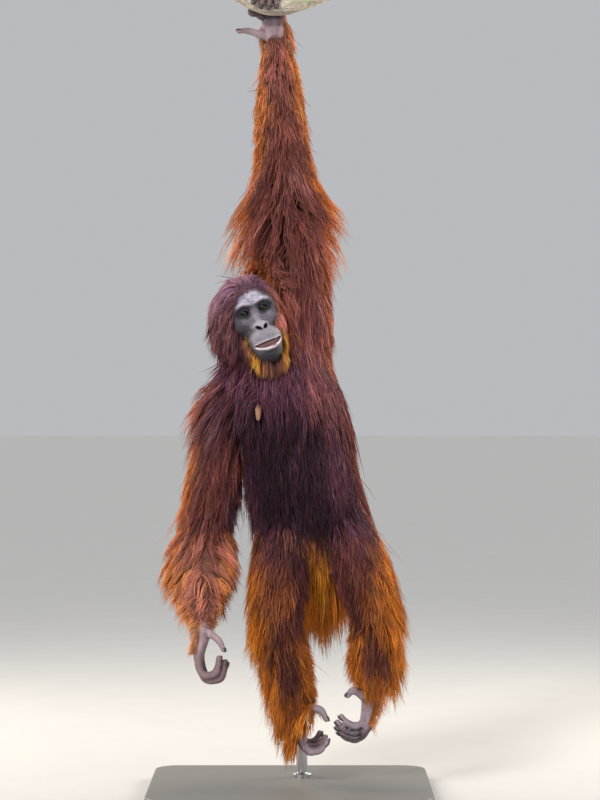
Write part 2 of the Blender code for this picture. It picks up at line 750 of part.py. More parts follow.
def arm_coat(side, arm):
    """The growths of one arm: the left one's hair falls back from the wrist, the right one's flares."""
    upper, fore = f"upper_arm_{side}", f"forearm_{side}"
    if side == "left":
        return [
            Growth(upper, arm, (0.90, 3.95), (-80, 260), 4, 6, 0.190, 0.052, (-0.3, 0.50, 0.5), 0.050, 0.9,
                   BENT_LOCK),
            Growth(fore, arm, (4.35, 5.40), (0, 360), 2, 6, 0.150, 0.052, (-1.0, 0.35, 0.0), 0.034),
            Growth(fore, arm, (5.50, 6.98), (0, 360), 3, 5, 0.110, 0.044, (-1.0, 0.20, 0.0), 0.017, 0.6,
                   SHORT_LOCK),
            Growth("hand_left", arm, (7.50, 7.80), (-70, 30), 1, 3, 0.085, 0.026, (-1.0, 0.15, 0.0), 0.012,
                   0.6, SHORT_LOCK),
        ]
    return [
        Growth(upper, arm, (0.80, 3.75), (50, 310), 4, 5, 0.175, 0.054, (1.0, 0.25, 0.0), 0.036),
        Growth(fore, arm, (4.25, 6.90), (0, 360), 5, 5, 0.120, 0.044, (-0.50, 1.0, 0.0), 0.042, 2.2,
               BENT_LOCK),
        Growth("hand_right", arm, (7.30, 7.60), (130, 250), 1, 3, 0.080, 0.030, (1.0, 0.15, 0.0), 0.010, 0.6,
               SHORT_LOCK),
    ]


def leg_coat(side, leg):
    """The growths of one leg, which hang with it, down to the back of the foot."""
    outer = 180 if side == "right" else 0
    return [
        Growth(f"thigh_{side}", leg, (1.25, 3.75), (0, 360), 3, 5, 0.155, 0.060, (1.0, 0.22, 0.0), 0.030),
        Growth(f"shank_{side}", leg, (4.25, 5.65), (0, 360), 2, 6, 0.135, 0.046, (1.0, 0.28, 0.0), 0.026),
        Growth(f"foot_{side}", leg, (6.5, 6.9), (outer - 80, outer + 80), 1, 4, 0.095, 0.034,
               (1.0, 0.15, 0.3), 0.012, 0.6, SHORT_LOCK),
    ]


TRUNK_COAT = (
    Growth("torso", TRUNK, (6.5, 7.2), (0, 360), 1, 8, 0.180, 0.058, (-1.0, 0.30, 0.4), 0.030),
    Growth("torso", TRUNK, (2.9, 6.4), (185, 355), 4, 4, 0.230, 0.074, (-1.0, 0.10, 0.3), 0.032),
    Growth("torso", TRUNK, (3.2, 6.3), (5, 175), 4, 5, 0.175, 0.054, (-1.0, 0.10, 0.3), 0.022),
    Growth("torso", TRUNK, (1.5, 2.6), (185, 355), 2, 4, 0.210, 0.072, (-1.0, 0.12, 0.4), 0.028),
    Growth("torso", TRUNK, (2.4, 2.8), (20, 160), 1, 5, 0.150, 0.050, (-1.0, 0.15, 0.3), 0.030),
    Growth("torso", TRUNK, (0.5, 1.1), (190, 350), 1, 5, 0.240, 0.056, (-1.0, 0.10, 0.8), 0.018),
)


class Coat:
    """The locks of every node, each drawn in turn, laid along the body and kept clear of the other nodes."""

    def __init__(self, nodes):
        self.draw = random.Random(SEED)
        self.nodes = nodes
        self.trees = {name: [tree_of(obj)] for name, obj in nodes.items()}
        self.body = tree_of(*(obj for name, obj in nodes.items()
                              if name.split("_")[0] not in ("stand", "perch")))
        self.locks = {name: [] for name in nodes}

    def vary(self, value, share=0.14):
        return value * self.draw.uniform(1 - share, 1 + share)

    def path(self, root, normal, heading, length, stand, sag, rings):
        """The middles of a lock's rings and the way its flat side faces at each, laid over the body."""
        places, faces = [root - normal * LOCK_SINK], [normal]
        here, way, facing = root.copy(), heading.normalized(), normal
        shares = [ring[0] for ring in rings] + [1.0]
        for before, share in zip(shares, shares[1:]):
            stretch = share - before
            way = (way + DOWN * (sag * stretch)).normalized()
            here = here + way * (length * stretch)
            wanted = LOCK_LIFT + (stand - LOCK_LIFT) * share
            near, outward, _, _ = self.body.find_nearest(here)
            off = here - near
            inside = off.dot(outward) < 0
            out = (-off if inside else off).normalized()
            if inside or off.length < wanted:
                here = near + out * wanted
            if off.length < 3 * wanted:
                facing = (facing + out).normalized()
            places.append(here)
            faces.append(facing)
        return places, faces

    def shape(self, places, faces, width, rings, room=0.0):
        """A lock's corners and triangles: a flat underside and a ridge along its back."""
        corners = []
        for k, (_, wide, deep) in enumerate(rings):
            way = (places[k + 1] - places[max(k - 1, 0)]).normalized()
            across = way.cross(faces[k]).normalized()
            out = across.cross(way)
            half = across * (width / 2 * wide + room)
            under = places[k] - out * room
            corners += [under - half, places[k] + out * (LOCK_THICKNESS * deep + room), under + half]
        corners.append(places[-1] + (places[-1] - places[-2]).normalized() * room)
        triangles = [(0, 1, 2)]
        for k in range(len(rings) - 1):
            for j in range(3):
                a, b = 3 * k + j, 3 * k + (j + 1) % 3
                triangles += [(a, a + 3, b + 3), (a, b + 3, b)]
        tip, last = len(corners) - 1, 3 * (len(rings) - 1)
        triangles += [(last + j, tip, last + (j + 1) % 3) for j in range(3)]
        return corners, triangles

    def hidden(self, node, root, normal):
        """Whether another node lies against the body here, as where two nodes meet."""
        return any(trees[0].find_nearest(root + normal * 0.004, 0.006)[0] is not None
                   for name, trees in self.trees.items() if name != node)

    def clear(self, node, corners, triangles):
        """Whether a lock misses every other node and every other node's locks."""
        lock = BVHTree.FromPolygons(corners, triangles)
        others = (trees for name, trees in self.trees.items() if name != node)
        return not any(lock.overlap(tree) for trees in others for tree in trees)

    def grow(self, node, root, normal, heading, length, width, stand, sag, rings):
        """Adds one lock, bent further off the body until it clears the other nodes, or leaves it out."""
        for tries in range(CLEARING_TRIES):
            turn = math.radians(14 * tries) * (-1 if tries % 2 else 1)
            bent = Matrix.Rotation(turn, 3, normal) @ heading
            places, faces = self.path(root, normal, bent, length * 0.94 ** tries, stand + 0.007 * tries, sag,
                                      rings)
            if self.clear(node, *self.shape(places, faces, width, rings, LOCK_ROOM)):
                lock = self.shape(places, faces, width, rings)
                self.trees[node].append(BVHTree.FromPolygons(*lock))
                self.locks[node].append(mesh_object("lock", *lock))
                return

    def sow(self, growth):
        """The locks of one growth, in staggered rows, from the row that lies undermost."""
        rows = range(growth.rows)
        for row in rows:
            for place in range(growth.around):
                share = (row + 0.5 + self.draw.uniform(-0.2, 0.2)) / growth.rows
                u = growth.span[0] + (growth.span[1] - growth.span[0]) * share
                turn = (place + 0.5 * (row % 2) + 0.25 + self.draw.uniform(-0.15, 0.15)) / growth.around
                bearing = math.radians(growth.sweep[0] + (growth.sweep[1] - growth.sweep[0]) * turn)
                ring = ring_at(growth.stations, u)
                aim = Vector((math.cos(bearing), -math.sin(bearing), 0))
                aim = (aim - ring.along * aim.dot(ring.along)).normalized()
                root, normal, _, _ = self.trees[growth.node][0].ray_cast(ring.middle + aim * 0.3, -aim, 0.3)
                if root is None or self.hidden(growth.node, root, normal):
                    continue
                along, out, down = growth.heading
                heading = ring.along * along + normal * out + DOWN * down
                heading += ring.along.cross(normal) * self.draw.uniform(-0.10, 0.10)
                self.grow(growth.node, root, normal, heading, self.vary(growth.length),
                          self.vary(growth.width, 0.08), self.vary(growth.stand, 0.12), growth.sag,
                          growth.rings)

    def sow_head(self, frame):
        """The hood that falls from the crown, round the face, and the beard under the chin."""
        turned = frame.to_3x3()
        for middle, rise, sweep, count, length, width, fan, stand in HEAD_COAT:
            for k in range(count):
                share = (k + 0.5 + self.draw.uniform(-0.2, 0.2)) / count
                bearing = math.radians(sweep[0] + (sweep[1] - sweep[0]) * share)
                lift = math.radians(rise + self.draw.uniform(-6, 6))
                out = turned @ Vector((math.cos(bearing) * math.cos(lift), math.sin(bearing) * math.cos(lift),
                                       math.sin(lift)))
                start = frame @ Vector(middle) + out * 0.3
                root, normal, _, _ = self.trees["head"][0].ray_cast(start, -out)
                if root is None:
                    continue
                level = turned @ Vector((math.cos(bearing), max(math.sin(bearing), 0.15), 0))
                heading = Vector((level.x, level.y, 0)) * fan + DOWN + normal * 0.15
                heading += normal.cross(DOWN) * self.draw.uniform(-0.12, 0.12)
                self.grow("head", root, normal, heading, self.vary(length), self.vary(width, 0.08),
                          self.vary(stand, 0.12), 0.8, PLAIN_LOCK)
        for place, way, length, width, stand in PLACED_COAT:
            for side in (-1, 1):
                start = frame @ Vector((side * place[0], *place[1:]))
                root, normal, _, _ = self.trees["head"][0].find_nearest(start)
                heading = turned @ Vector((side * way[0], *way[1:]))
                self.grow("head", root, normal, heading, self.vary(length, 0.08), width, stand, 0.2,
                          SHORT_LOCK)

    def fuse(self):
        """Joins every node to its locks."""
        for name, locks in self.locks.items():
            fuse(self.nodes[name], locks)


# Middle of the fan in the head's frame, rise above level, sweep of bearings (0 left, 90 back, 180 right),
# count, length, width, how far a lock fans out from upright, and how far its tip stands off.
HEAD_COAT = (
    ((0.0, 0.070, 0.020), 72, (-30, 210), 3, 0.110, 0.060, 1.1, 0.010),
    ((0.0, 0.070, 0.020), 40, (-48, 228), 7, 0.150, 0.058, 0.45, 0.020),
    ((0.0, 0.070, 0.010), 10, (-40, 220), 7, 0.170, 0.060, 0.1, 0.022),
    ((0.0, 0.050, -0.050), -12, (-26, 206), 6, 0.150, 0.054, 0.1, 0.024),
)
# Locks set one by one on both sides of the head: root, heading, length, width, how far the tip stands off.
PLACED_COAT = (
    ((0.012, 0.004, 0.072), (1.0, 0.45, -0.20), 0.100, 0.036, 0.010),    # parted over the forehead
    ((0.008, 0.028, 0.086), (1.0, 0.35, -0.15), 0.110, 0.044, 0.010),
    ((0.046, 0.004, -0.058), (0.20, -0.10, -1.0), 0.072, 0.024, 0.009),  # beard, down the side of the muzzle
    ((0.044, 0.006, -0.086), (0.05, -0.10, -1.0), 0.070, 0.026, 0.010),
    ((0.034, 0.000, -0.116), (-0.10, -0.05, -1.0), 0.066, 0.026, 0.010),
    ((0.018, -0.002, -0.134), (-0.15, 0.0, -1.0), 0.060, 0.024, 0.010),
)


def tree_of(*objects):
    """One search tree over the triangles of these objects."""
    corners, triangles = [], []
    for obj in objects:
        first = len(corners)
        corners += [vertex.co.copy() for vertex in obj.data.vertices]
        obj.data.calc_loop_triangles()
        triangles += [tuple(first + k for k in t.vertices) for t in obj.data.loop_triangles]
    return BVHTree.FromPolygons(corners, triangles)


# ---------------------------------------------------------------- the whole

def finish(obj, colour, roughness):
    """Gives a node its own material and smooth shading."""
    obj.data.materials.clear()
    obj.data.materials.append(material(obj.name, colour, roughness))
    obj.data.shade_smooth()
    obj.data.set_sharp_from_angle(angle=math.radians(50))


# Colour and roughness of each node, or of each kind of node.
COAT = ((0.42, 0.17, 0.06), 0.75)
SKIN = ((0.20, 0.17, 0.19), 0.60)
LOOKS = {
    "hand": SKIN, "foot": SKIN, "ear": SKIN,
    "tongue": ((0.36, 0.17, 0.15), 0.45),
    "eye": ((0.05, 0.03, 0.02), 0.15),
    "perch": ((0.45, 0.40, 0.32), 0.85),
    "stand_base": ((0.78, 0.77, 0.74), 0.50),
    "stand_rod": ((0.55, 0.55, 0.56), 0.35),
}


def build():
    """Every node, in order from trunk to stand."""
    frame = head_frame()
    trunk = melt("torso", [loft("torso", TRUNK, rings=14, sides=20), ball("chest", *CHEST)], 0.009, 6, 460)
    nodes = {"torso": trunk, "head": head(frame)}
    limbs = {"left": (ARM_LEFT, LEG_LEFT), "right": (ARM_RIGHT, LEG_RIGHT)}
    sockets = [neck("socket", GAP)]
    for side, (arm, leg) in limbs.items():
        nodes[f"upper_arm_{side}"] = upper_limb(f"upper_arm_{side}", arm, ELBOW)
        nodes[f"forearm_{side}"] = loft(f"forearm_{side}", arm, ELBOW, WRIST, 7, 10, trim=(GAP / 2, GAP / 2))
        nodes[f"thigh_{side}"] = upper_limb(f"thigh_{side}", leg, KNEE)
        nodes[f"shank_{side}"] = loft(f"shank_{side}", leg, KNEE, ANKLE, 6, 10, trim=(GAP / 2, GAP / 2))
        sockets += [upper_limb("socket", arm, ELBOW, GAP), upper_limb("socket", leg, KNEE, GAP)]
    sockets.append(rod("bore", ROD_RADIUS + GAP, 0.40, ROD_TOP + GAP))
    sockets.append(room_for(nodes["head"], 300, 0.004))
    carve(trunk, sockets)
    nodes["neck"] = carve(neck("neck"), [upper_limb("socket", ARM_LEFT, ELBOW, GAP)])
    carve(nodes["head"], [neck("socket", GAP), upper_limb("socket", ARM_LEFT, ELBOW, GAP)])
    nodes["hand_left"] = gripping_hand("hand_left")
    nodes["hand_right"] = hanging_hand("hand_right")
    nodes["foot_left"] = foot("foot_left", **FOOT_LEFT)
    nodes["foot_right"] = foot("foot_right", **FOOT_RIGHT)
    for name, side in (("left", 1), ("right", -1)):
        carve(nodes["head"], [ear("ear_room", frame, side, GAP)])
        nodes[f"ear_{name}"] = ear(f"ear_{name}", frame, side)
        nodes[f"eye_{name}"] = ball(f"eye_{name}", eye_middle(side), (EYE_RADIUS,) * 3, frame, 10, 6)
    carve(nodes["head"], [tongue("tongue_room", frame, GAP)])
    nodes["tongue"] = tongue("tongue", frame)
    nodes["perch"] = perch()
    nodes["stand_base"] = stand_base()
    nodes["stand_rod"] = rod("stand_rod", ROD_RADIUS, BASE_SIZE[2] + GAP, ROD_TOP)
    coat = Coat(nodes)
    for growth in TRUNK_COAT:
        coat.sow(growth)
    for side, (arm, leg) in limbs.items():
        for growth in (*arm_coat(side, arm), *leg_coat(side, leg)):
            coat.sow(growth)
    coat.sow_head(frame)
    coat.locks["torso"].append(nipple())
    coat.fuse()
    for name, obj in nodes.items():
        finish(obj, *LOOKS.get(name, LOOKS.get(name.split("_")[0], COAT)))


clear_scene()
PARTS = collection("orangutan")
build()
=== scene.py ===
"""Looks of a life-size adult orangutan that hangs by its left arm from a short cut branch, on a plain stand.

Metres, +Z up. The animal faces -Y and its left is towards +X. One skin covers the whole body, and a coat of
flat tapered tufts, all solid mesh, grows from it in the places that the Markings class leaves covered.
"""

import logging
import math
from dataclasses import dataclass, field
from enum import Enum
from typing import Any, Iterable, Optional, Sequence

import bmesh
import bpy
import numpy as np
from mathutils import Matrix, Vector
from mathutils.bvhtree import BVHTree
from mathutils.kdtree import KDTree

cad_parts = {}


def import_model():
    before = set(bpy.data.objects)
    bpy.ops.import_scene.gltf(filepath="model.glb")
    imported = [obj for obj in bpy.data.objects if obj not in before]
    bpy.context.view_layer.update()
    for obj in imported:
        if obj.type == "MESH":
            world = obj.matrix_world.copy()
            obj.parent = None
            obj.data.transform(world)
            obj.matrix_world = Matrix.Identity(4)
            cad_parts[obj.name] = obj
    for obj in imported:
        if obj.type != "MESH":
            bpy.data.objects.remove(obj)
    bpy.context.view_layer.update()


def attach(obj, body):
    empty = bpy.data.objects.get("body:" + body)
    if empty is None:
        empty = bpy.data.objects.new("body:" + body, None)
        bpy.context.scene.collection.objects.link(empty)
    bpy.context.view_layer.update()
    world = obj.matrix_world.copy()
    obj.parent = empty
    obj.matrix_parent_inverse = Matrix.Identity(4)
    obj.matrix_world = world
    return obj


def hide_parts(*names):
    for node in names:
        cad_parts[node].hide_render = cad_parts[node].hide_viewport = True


Array = np.ndarray
LOG = logging.getLogger("orangutan")
SEED = 41

# ---------------------------------------------------------------- sizes shared with the solids

BASE_SIZE = (0.70, 0.56, 0.030)
BASE_CORNER = 0.060
ROD_RADIUS = 0.014
ROD_PLACE = (0.030, 0.086)
ROD_TOP = 0.655

# Sections are (x, y, z, half width, half depth).
TRUNK = (
    (0.066, 0.050, 0.578, 0.050, 0.046), (0.062, 0.044, 0.615, 0.100, 0.086),
    (0.056, 0.034, 0.690, 0.132, 0.110), (0.036, 0.014, 0.780, 0.134, 0.118),
    (0.014, 0.006, 0.870, 0.136, 0.120), (-0.006, 0.012, 0.960, 0.142, 0.114),
    (-0.026, 0.026, 1.040, 0.132, 0.098), (-0.036, 0.038, 1.105, 0.098, 0.074),
    (-0.040, 0.044, 1.140, 0.050, 0.044),
)
CHEST = ((-0.012, -0.030, 0.975), (0.125, 0.085, 0.080))
NECK = (
    (-0.038, 0.034, 1.075, 0.062, 0.056), (-0.058, 0.012, 1.130, 0.062, 0.056),
    (-0.086, -0.012, 1.185, 0.056, 0.054),
)
ARM_LEFT = (
    (0.022, 0.046, 1.095, 0.056, 0.054), (0.036, 0.046, 1.175, 0.064, 0.060),
    (0.024, 0.042, 1.320, 0.062, 0.056), (-0.004, 0.034, 1.450, 0.056, 0.050),
    (-0.012, 0.030, 1.515, 0.052, 0.048), (-0.018, 0.026, 1.600, 0.051, 0.047),
    (-0.025, 0.018, 1.730, 0.044, 0.040), (-0.032, 0.010, 1.868, 0.029, 0.022),
    (-0.036, 0.010, 1.900, 0.037, 0.019), (-0.040, 0.006, 1.936, 0.038, 0.014),
)
ARM_RIGHT = (
    (-0.098, 0.020, 1.030, 0.056, 0.054), (-0.136, 0.006, 0.985, 0.062, 0.058),
    (-0.166, 0.012, 0.870, 0.059, 0.055), (-0.192, 0.024, 0.760, 0.053, 0.049),
    (-0.206, 0.030, 0.690, 0.049, 0.046), (-0.211, -0.006, 0.620, 0.048, 0.045),
    (-0.212, -0.076, 0.530, 0.041, 0.038), (-0.209, -0.146, 0.444, 0.027, 0.022),
    (-0.214, -0.158, 0.408, 0.019, 0.034), (-0.221, -0.158, 0.366, 0.013, 0.036),
)
LEG_RIGHT = (
    (0.000, 0.016, 0.735, 0.052, 0.066), (-0.012, 0.000, 0.680, 0.062, 0.070),
    (-0.022, -0.060, 0.580, 0.062, 0.064), (-0.030, -0.112, 0.480, 0.052, 0.055),
    (-0.028, -0.110, 0.440, 0.048, 0.052), (-0.008, -0.075, 0.345, 0.045, 0.048),
    (0.018, -0.034, 0.246, 0.031, 0.033), (0.018, -0.024, 0.196, 0.023, 0.038),
    (0.028, -0.028, 0.146, 0.015, 0.036),
)
LEG_LEFT = (
    (0.118, 0.016, 0.735, 0.052, 0.066), (0.132, 0.000, 0.680, 0.062, 0.070),
    (0.166, -0.060, 0.590, 0.062, 0.064), (0.198, -0.112, 0.500, 0.052, 0.055),
    (0.203, -0.110, 0.462, 0.048, 0.052), (0.206, -0.076, 0.370, 0.045, 0.048),
    (0.202, -0.036, 0.284, 0.031, 0.033), (0.201, -0.028, 0.230, 0.023, 0.037),
    (0.187, -0.030, 0.172, 0.015, 0.036),
)
PERCH = (
    (-0.270, -0.034, 2.062, 0.025, 0.025), (-0.200, -0.032, 2.034, 0.023, 0.023),
    (-0.135, -0.028, 2.003, 0.022, 0.022), (-0.085, -0.024, 1.975, 0.022, 0.022),
    (-0.040, -0.020, 1.964, 0.021, 0.021), (0.010, -0.012, 1.972, 0.021, 0.021),
    (0.075, 0.004, 1.996, 0.020, 0.020), (0.145, 0.020, 2.026, 0.019, 0.019),
)
WRIST, KNUCKLES, ANKLE, TOE_ROOTS = 7, 9, 6, 8

# The head's own frame: origin midway between the pupils, x towards the animal's left, y back, z up.
EYE_LINE = (-0.088, -0.104, 1.205)
HEAD_TURN, HEAD_ROLL = math.radians(10.5), math.radians(20)
PUPIL_GAP = 0.049
EYE_RADIUS = 0.0125
EYE_DEPTH = 0.0120
EYE_ASIDE = PUPIL_GAP / 2
NOSTRIL_PLACE = (0.0084, -0.0325, -0.0462)
NOSTRIL_TURN = math.radians(46)
HEAD_FORMS = (  # middle, half sizes, tip forwards in degrees, how softly it joins those before it
    ((0.0, 0.078, 0.022), (0.073, 0.083, 0.064), 0, 0.001),
    ((0.0, 0.034, 0.018), (0.058, 0.036, 0.042), -12, 0.012),
    ((0.0, 0.046, -0.030), (0.060, 0.046, 0.056), 0, 0.012),
    ((0.0, 0.060, -0.078), (0.056, 0.056, 0.050), 0, 0.020),
    ((0.0, 0.006, -0.078), (0.044, 0.058, 0.037), 6, 0.014),
    ((0.0, -0.020, -0.067), (0.036, 0.030, 0.021), 0, 0.012),
    ((0.0, 0.002, -0.110), (0.034, 0.044, 0.026), -10, 0.012),
    ((0.040, 0.020, -0.028), (0.020, 0.022, 0.018), 0, 0.012),
    ((0.0, -0.008, -0.040), (0.019, 0.018, 0.012), 0, 0.010),
    ((0.0072, -0.022, -0.0450), (0.0082, 0.0085, 0.0062), 0, 0.005),
)
BROW = ((0.000, 0.003, 0.014), (0.013, -0.004, 0.021), (0.028, -0.005, 0.025), (0.042, 0.004, 0.019),
        (0.051, 0.014, 0.004), (0.047, 0.014, -0.012), (0.034, 0.006, -0.019))
BRIDGE = ((0.0, 0.007, 0.012), (0.0, 0.005, -0.010), (0.0, -0.006, -0.034))
MOUTH = ((-0.034, -0.0850, -0.0866), (-0.024, -0.0838, -0.0930), (-0.008, -0.0826, -0.0976),
         (0.010, -0.0818, -0.0972), (0.026, -0.0812, -0.0916), (0.036, -0.0806, -0.0824))
TONGUE = ((0.004, -0.028, -0.0985), (0.023, 0.020, 0.0055), -4)

FINGER_LENGTHS = (0.92, 1.0, 0.96, 0.84)
DIGIT_STEP = 0.0165
DIGIT_RADIUS, GRIP_RADIUS = 0.0098, 0.0088
FLESH = ("torso", "neck", "head", "ear_left", "ear_right", "upper_arm_left", "upper_arm_right",
         "forearm_left", "forearm_right", "hand_left", "hand_right", "thigh_left", "thigh_right",
         "shank_left", "shank_right", "foot_left", "foot_right")


# ---------------------------------------------------------------- array helpers

def unit(vectors: Array) -> Array:
    """Vectors brought to length one."""
    return vectors / np.maximum(np.linalg.norm(vectors, axis=-1, keepdims=True), 1e-9)


def dot(first: Array, second: Array) -> Array:
    """The inner product of rows."""
    return (first * second).sum(-1)


def step(values: Array, low: float, high: float) -> Array:
    """A smooth rise from 0 at low to 1 at high, which may also lie below low."""
    t = np.clip((values - low) / (high - low), 0, 1)
    return t * t * (3 - 2 * t)


def blend(first: Array, second: Array, soft: float) -> Array:
    """The union of two distance fields, rounded where they meet."""
    share = np.clip(0.5 + 0.5 * (second - first) / soft, 0, 1)
    return second + (first - second) * share - soft * share * (1 - share)


def lattice_noise(points: Array, scale: float, seed: int = 0) -> Array:
    """Smooth value noise from -1 to 1.

    Args:
        points: places, in metres.
        scale: size of the noise's cells, in metres.
        seed: which noise.

    Returns:
        One number for each place.
    """
    cell = np.floor(points / scale).astype(np.int64)
    t = points / scale - cell
    t = t * t * (3 - 2 * t)
    total = np.zeros(points.shape[:-1])
    for corner in range(8):
        bits = np.array([corner & 1, corner >> 1 & 1, corner >> 2 & 1])
        x, y, z = np.moveaxis(cell + bits, -1, 0)
        mixed = (x * 73856093) ^ (y * 19349663) ^ (z * 83492791) ^ (seed * 2654435761)
        mixed = (mixed ^ (mixed >> 13)) * 1274126177 & 0x7FFFFFFF
        total += ((mixed % 20011) / 10005.0 - 1) * np.where(bits, t, 1 - t).prod(-1)
    return total


def tones(*values: tuple[float, float, float]) -> list[tuple[float, ...]]:
    """Linear colours for nodes, from display values."""
    return [tuple(colour(*value)) for value in values]


def colour(red: float, green: float, blue: float) -> Array:
    """A linear colour from display values between 0 and 255."""
    share = np.array([red, green, blue]) / 255
    return np.where(share <= 0.04045, share / 12.92, ((share + 0.055) / 1.055) ** 2.4)


# ---------------------------------------------------------------- mesh helpers

def link(name: str, data: Any) -> bpy.types.Object:
    """An object of a mesh, a lamp or a camera, linked to the scene."""
    made = bpy.data.objects.new(name, data)
    bpy.context.scene.collection.objects.link(made)
    return made


def new_mesh(name: str, corners: Array, faces: Array, smooth: bool = True) -> bpy.types.Object:
    """A mesh object from arrays.

    Args:
        name: the object's name.
        corners: places, one row each.
        faces: corner numbers, one row for each face, all of one length.
        smooth: whether its faces are shaded smooth.

    Returns:
        The object, linked to the scene.
    """
    mesh = bpy.data.meshes.new(name)
    size = faces.shape[1]
    mesh.vertices.add(len(corners))
    mesh.vertices.foreach_set("co", np.ascontiguousarray(corners, np.float32).ravel())
    mesh.loops.add(faces.size)
    mesh.loops.foreach_set("vertex_index", np.ascontiguousarray(faces, np.int32).ravel())
    mesh.polygons.add(len(faces))
    mesh.polygons.foreach_set("loop_start", np.arange(0, faces.size, size, dtype=np.int32))
    mesh.polygons.foreach_set("use_smooth", np.full(len(faces), smooth))
    mesh.update(calc_edges=True)
    return link(name, mesh)


def corners_of(obj: bpy.types.Object) -> Array:
    """A mesh's corners as rows."""
    flat = np.empty(len(obj.data.vertices) * 3, np.float32)
    obj.data.vertices.foreach_get("co", flat)
    return flat.reshape(-1, 3).astype(float)


def normals_of(obj: bpy.types.Object) -> Array:
    """A mesh's corner normals as rows."""
    flat = np.empty(len(obj.data.vertices) * 3, np.float32)
    obj.data.vertex_normals.foreach_get("vector", flat)
    return flat.reshape(-1, 3).astype(float)


def triangles_of(obj: bpy.types.Object) -> Array:
    """A mesh's triangles as rows of corner numbers.

    Args:
        obj: the object.

    Returns:
        Corner numbers, three a row.
    """
    obj.data.calc_loop_triangles()
    flat = np.empty(len(obj.data.loop_triangles) * 3, np.int32)
    obj.data.loop_triangles.foreach_get("vertices", flat)
    return flat.reshape(-1, 3)


def paint(obj: bpy.types.Object, name: str, values: Array) -> None:
    """Stores a colour at each corner of a mesh.

    Args:
        obj: the object.
        name: what the colours are stored under.
        values: one colour for each corner.
    """
    layer = obj.data.color_attributes.new(name, "FLOAT_COLOR", "POINT")
    rows = np.ones((len(values), 4), np.float32)
    rows[:, :3] = values
    layer.data.foreach_set("color", rows.ravel())


def note(obj: bpy.types.Object, name: str, values: Array) -> None:
    """Stores a number at each corner of a mesh."""
    layer = obj.data.attributes.new(name, "FLOAT", "POINT")
    layer.data.foreach_set("value", values.astype(np.float32))


def settle(obj: bpy.types.Object) -> None:
    """Turns an object's modifiers into its mesh.

    Args:
        obj: the object.
    """
    graph = bpy.context.evaluated_depsgraph_get()
    mesh = bpy.data.meshes.new_from_object(obj.evaluated_get(graph))
    old = obj.data
    obj.modifiers.clear()
    obj.data = mesh
    mesh.name = obj.name
    bpy.data.meshes.remove(old)


def write_outward(shape: bmesh.types.BMesh, mesh: bpy.types.Mesh) -> None:
    """Turns a shape's faces outwards and puts it into a mesh."""
    bmesh.ops.recalc_face_normals(shape, faces=shape.faces)
    shape.to_mesh(mesh)
    shape.free()


def discard(obj: bpy.types.Object) -> None:
    """Removes a helper and its mesh."""
    mesh = obj.data
    bpy.data.objects.remove(obj, do_unlink=True)
    bpy.data.meshes.remove(mesh)


def fuse(whole: bpy.types.Object, pieces: Sequence[bpy.types.Object]) -> None:
    """Joins closed pieces to a closed mesh as one surface, and removes them.

    Args:
        whole: the closed mesh.
        pieces: closed meshes that reach into it.
    """
    group = bpy.data.collections.new("pieces")
    bpy.context.scene.collection.children.link(group)
    for piece in pieces:
        bpy.context.scene.collection.objects.unlink(piece)
        group.objects.link(piece)
    union = whole.modifiers.new("Union", "BOOLEAN")
    union.operation = "UNION"
    union.operand_type = "COLLECTION"
    union.collection = group
    union.solver = "MANIFOLD"
    settle(whole)
    for piece in pieces:
        discard(piece)
    bpy.data.collections.remove(group)


def dress(obj: bpy.types.Object, finish: "Finish", nodes: Iterable[str] = ()) -> bpy.types.Object:
    """Gives a piece its material, the body that it rides on and the nodes that it stands for.

    Args:
        obj: the finished piece.
        finish: what it is made of.
        nodes: the solids' nodes that it replaces.

    Returns:
        The same piece.
    """
    obj.data.materials.clear()
    obj.data.materials.append(finish.material())
    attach(obj, "root")
    if nodes:
        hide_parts(*nodes)
    LOG.info("%s: %d faces", obj.name, len(obj.data.polygons))
    return obj


# ---------------------------------------------------------------- forms and fields

@dataclass
class Ball:
    """An ellipsoid, tipped forwards by some degrees."""

    middle: Sequence[float]
    radii: Sequence[float]
    tip: float = 0.0

    def box(self) -> tuple[Array, Array]:
        """The lowest and highest corner of its box."""
        reach = np.full(3, max(self.radii)) if self.tip else np.array(self.radii)
        return np.array(self.middle) - reach, np.array(self.middle) + reach

    def distance(self, points: Array) -> Array:
        """How far outside it each point lies, near enough.

        Args:
            points: places.

        Returns:
            One distance for each place.
        """
        offset = points - np.array(self.middle)
        if self.tip:
            c, s = math.cos(math.radians(self.tip)), math.sin(math.radians(self.tip))
            y, z = offset[..., 1].copy(), offset[..., 2].copy()
            offset[..., 1], offset[..., 2] = y * c + z * s, z * c - y * s
        size = np.array(self.radii)
        share = np.sqrt(((offset / size) ** 2).sum(-1))
        slope = np.sqrt(((offset / size ** 2) ** 2).sum(-1)) + 1e-9
        return share * (share - 1) / slope


@dataclass
class String:
    """A round string through joints, of one radius or of a radius at each joint."""

    joints: Sequence[Sequence[float]]
    radius: Any

    def radii(self) -> Array:
        """The radius at each joint."""
        return np.broadcast_to(np.asarray(self.radius, float), (len(self.joints),))

    def box(self) -> tuple[Array, Array]:
        """The lowest and highest corner of its box."""
        rows, reach = np.array(self.joints), self.radii().max()
        return rows.min(0) - reach, rows.max(0) + reach

    def distance(self, points: Array) -> Array:
        """How far outside it each point lies.

        Args:
            points: places.

        Returns:
            One distance for each place.
        """
        nearest, radii = None, self.radii()
        for k in range(len(self.joints) - 1):
            a, b = np.array(self.joints[k]), np.array(self.joints[k + 1])
            t = np.clip((points - a) @ (b - a) / ((b - a) @ (b - a)), 0, 1)
            reach = np.linalg.norm(points - a - t[..., None] * (b - a), axis=-1)
            reach = reach - radii[k] - (radii[k + 1] - radii[k]) * t
            nearest = reach if nearest is None else np.minimum(nearest, reach)
        return nearest


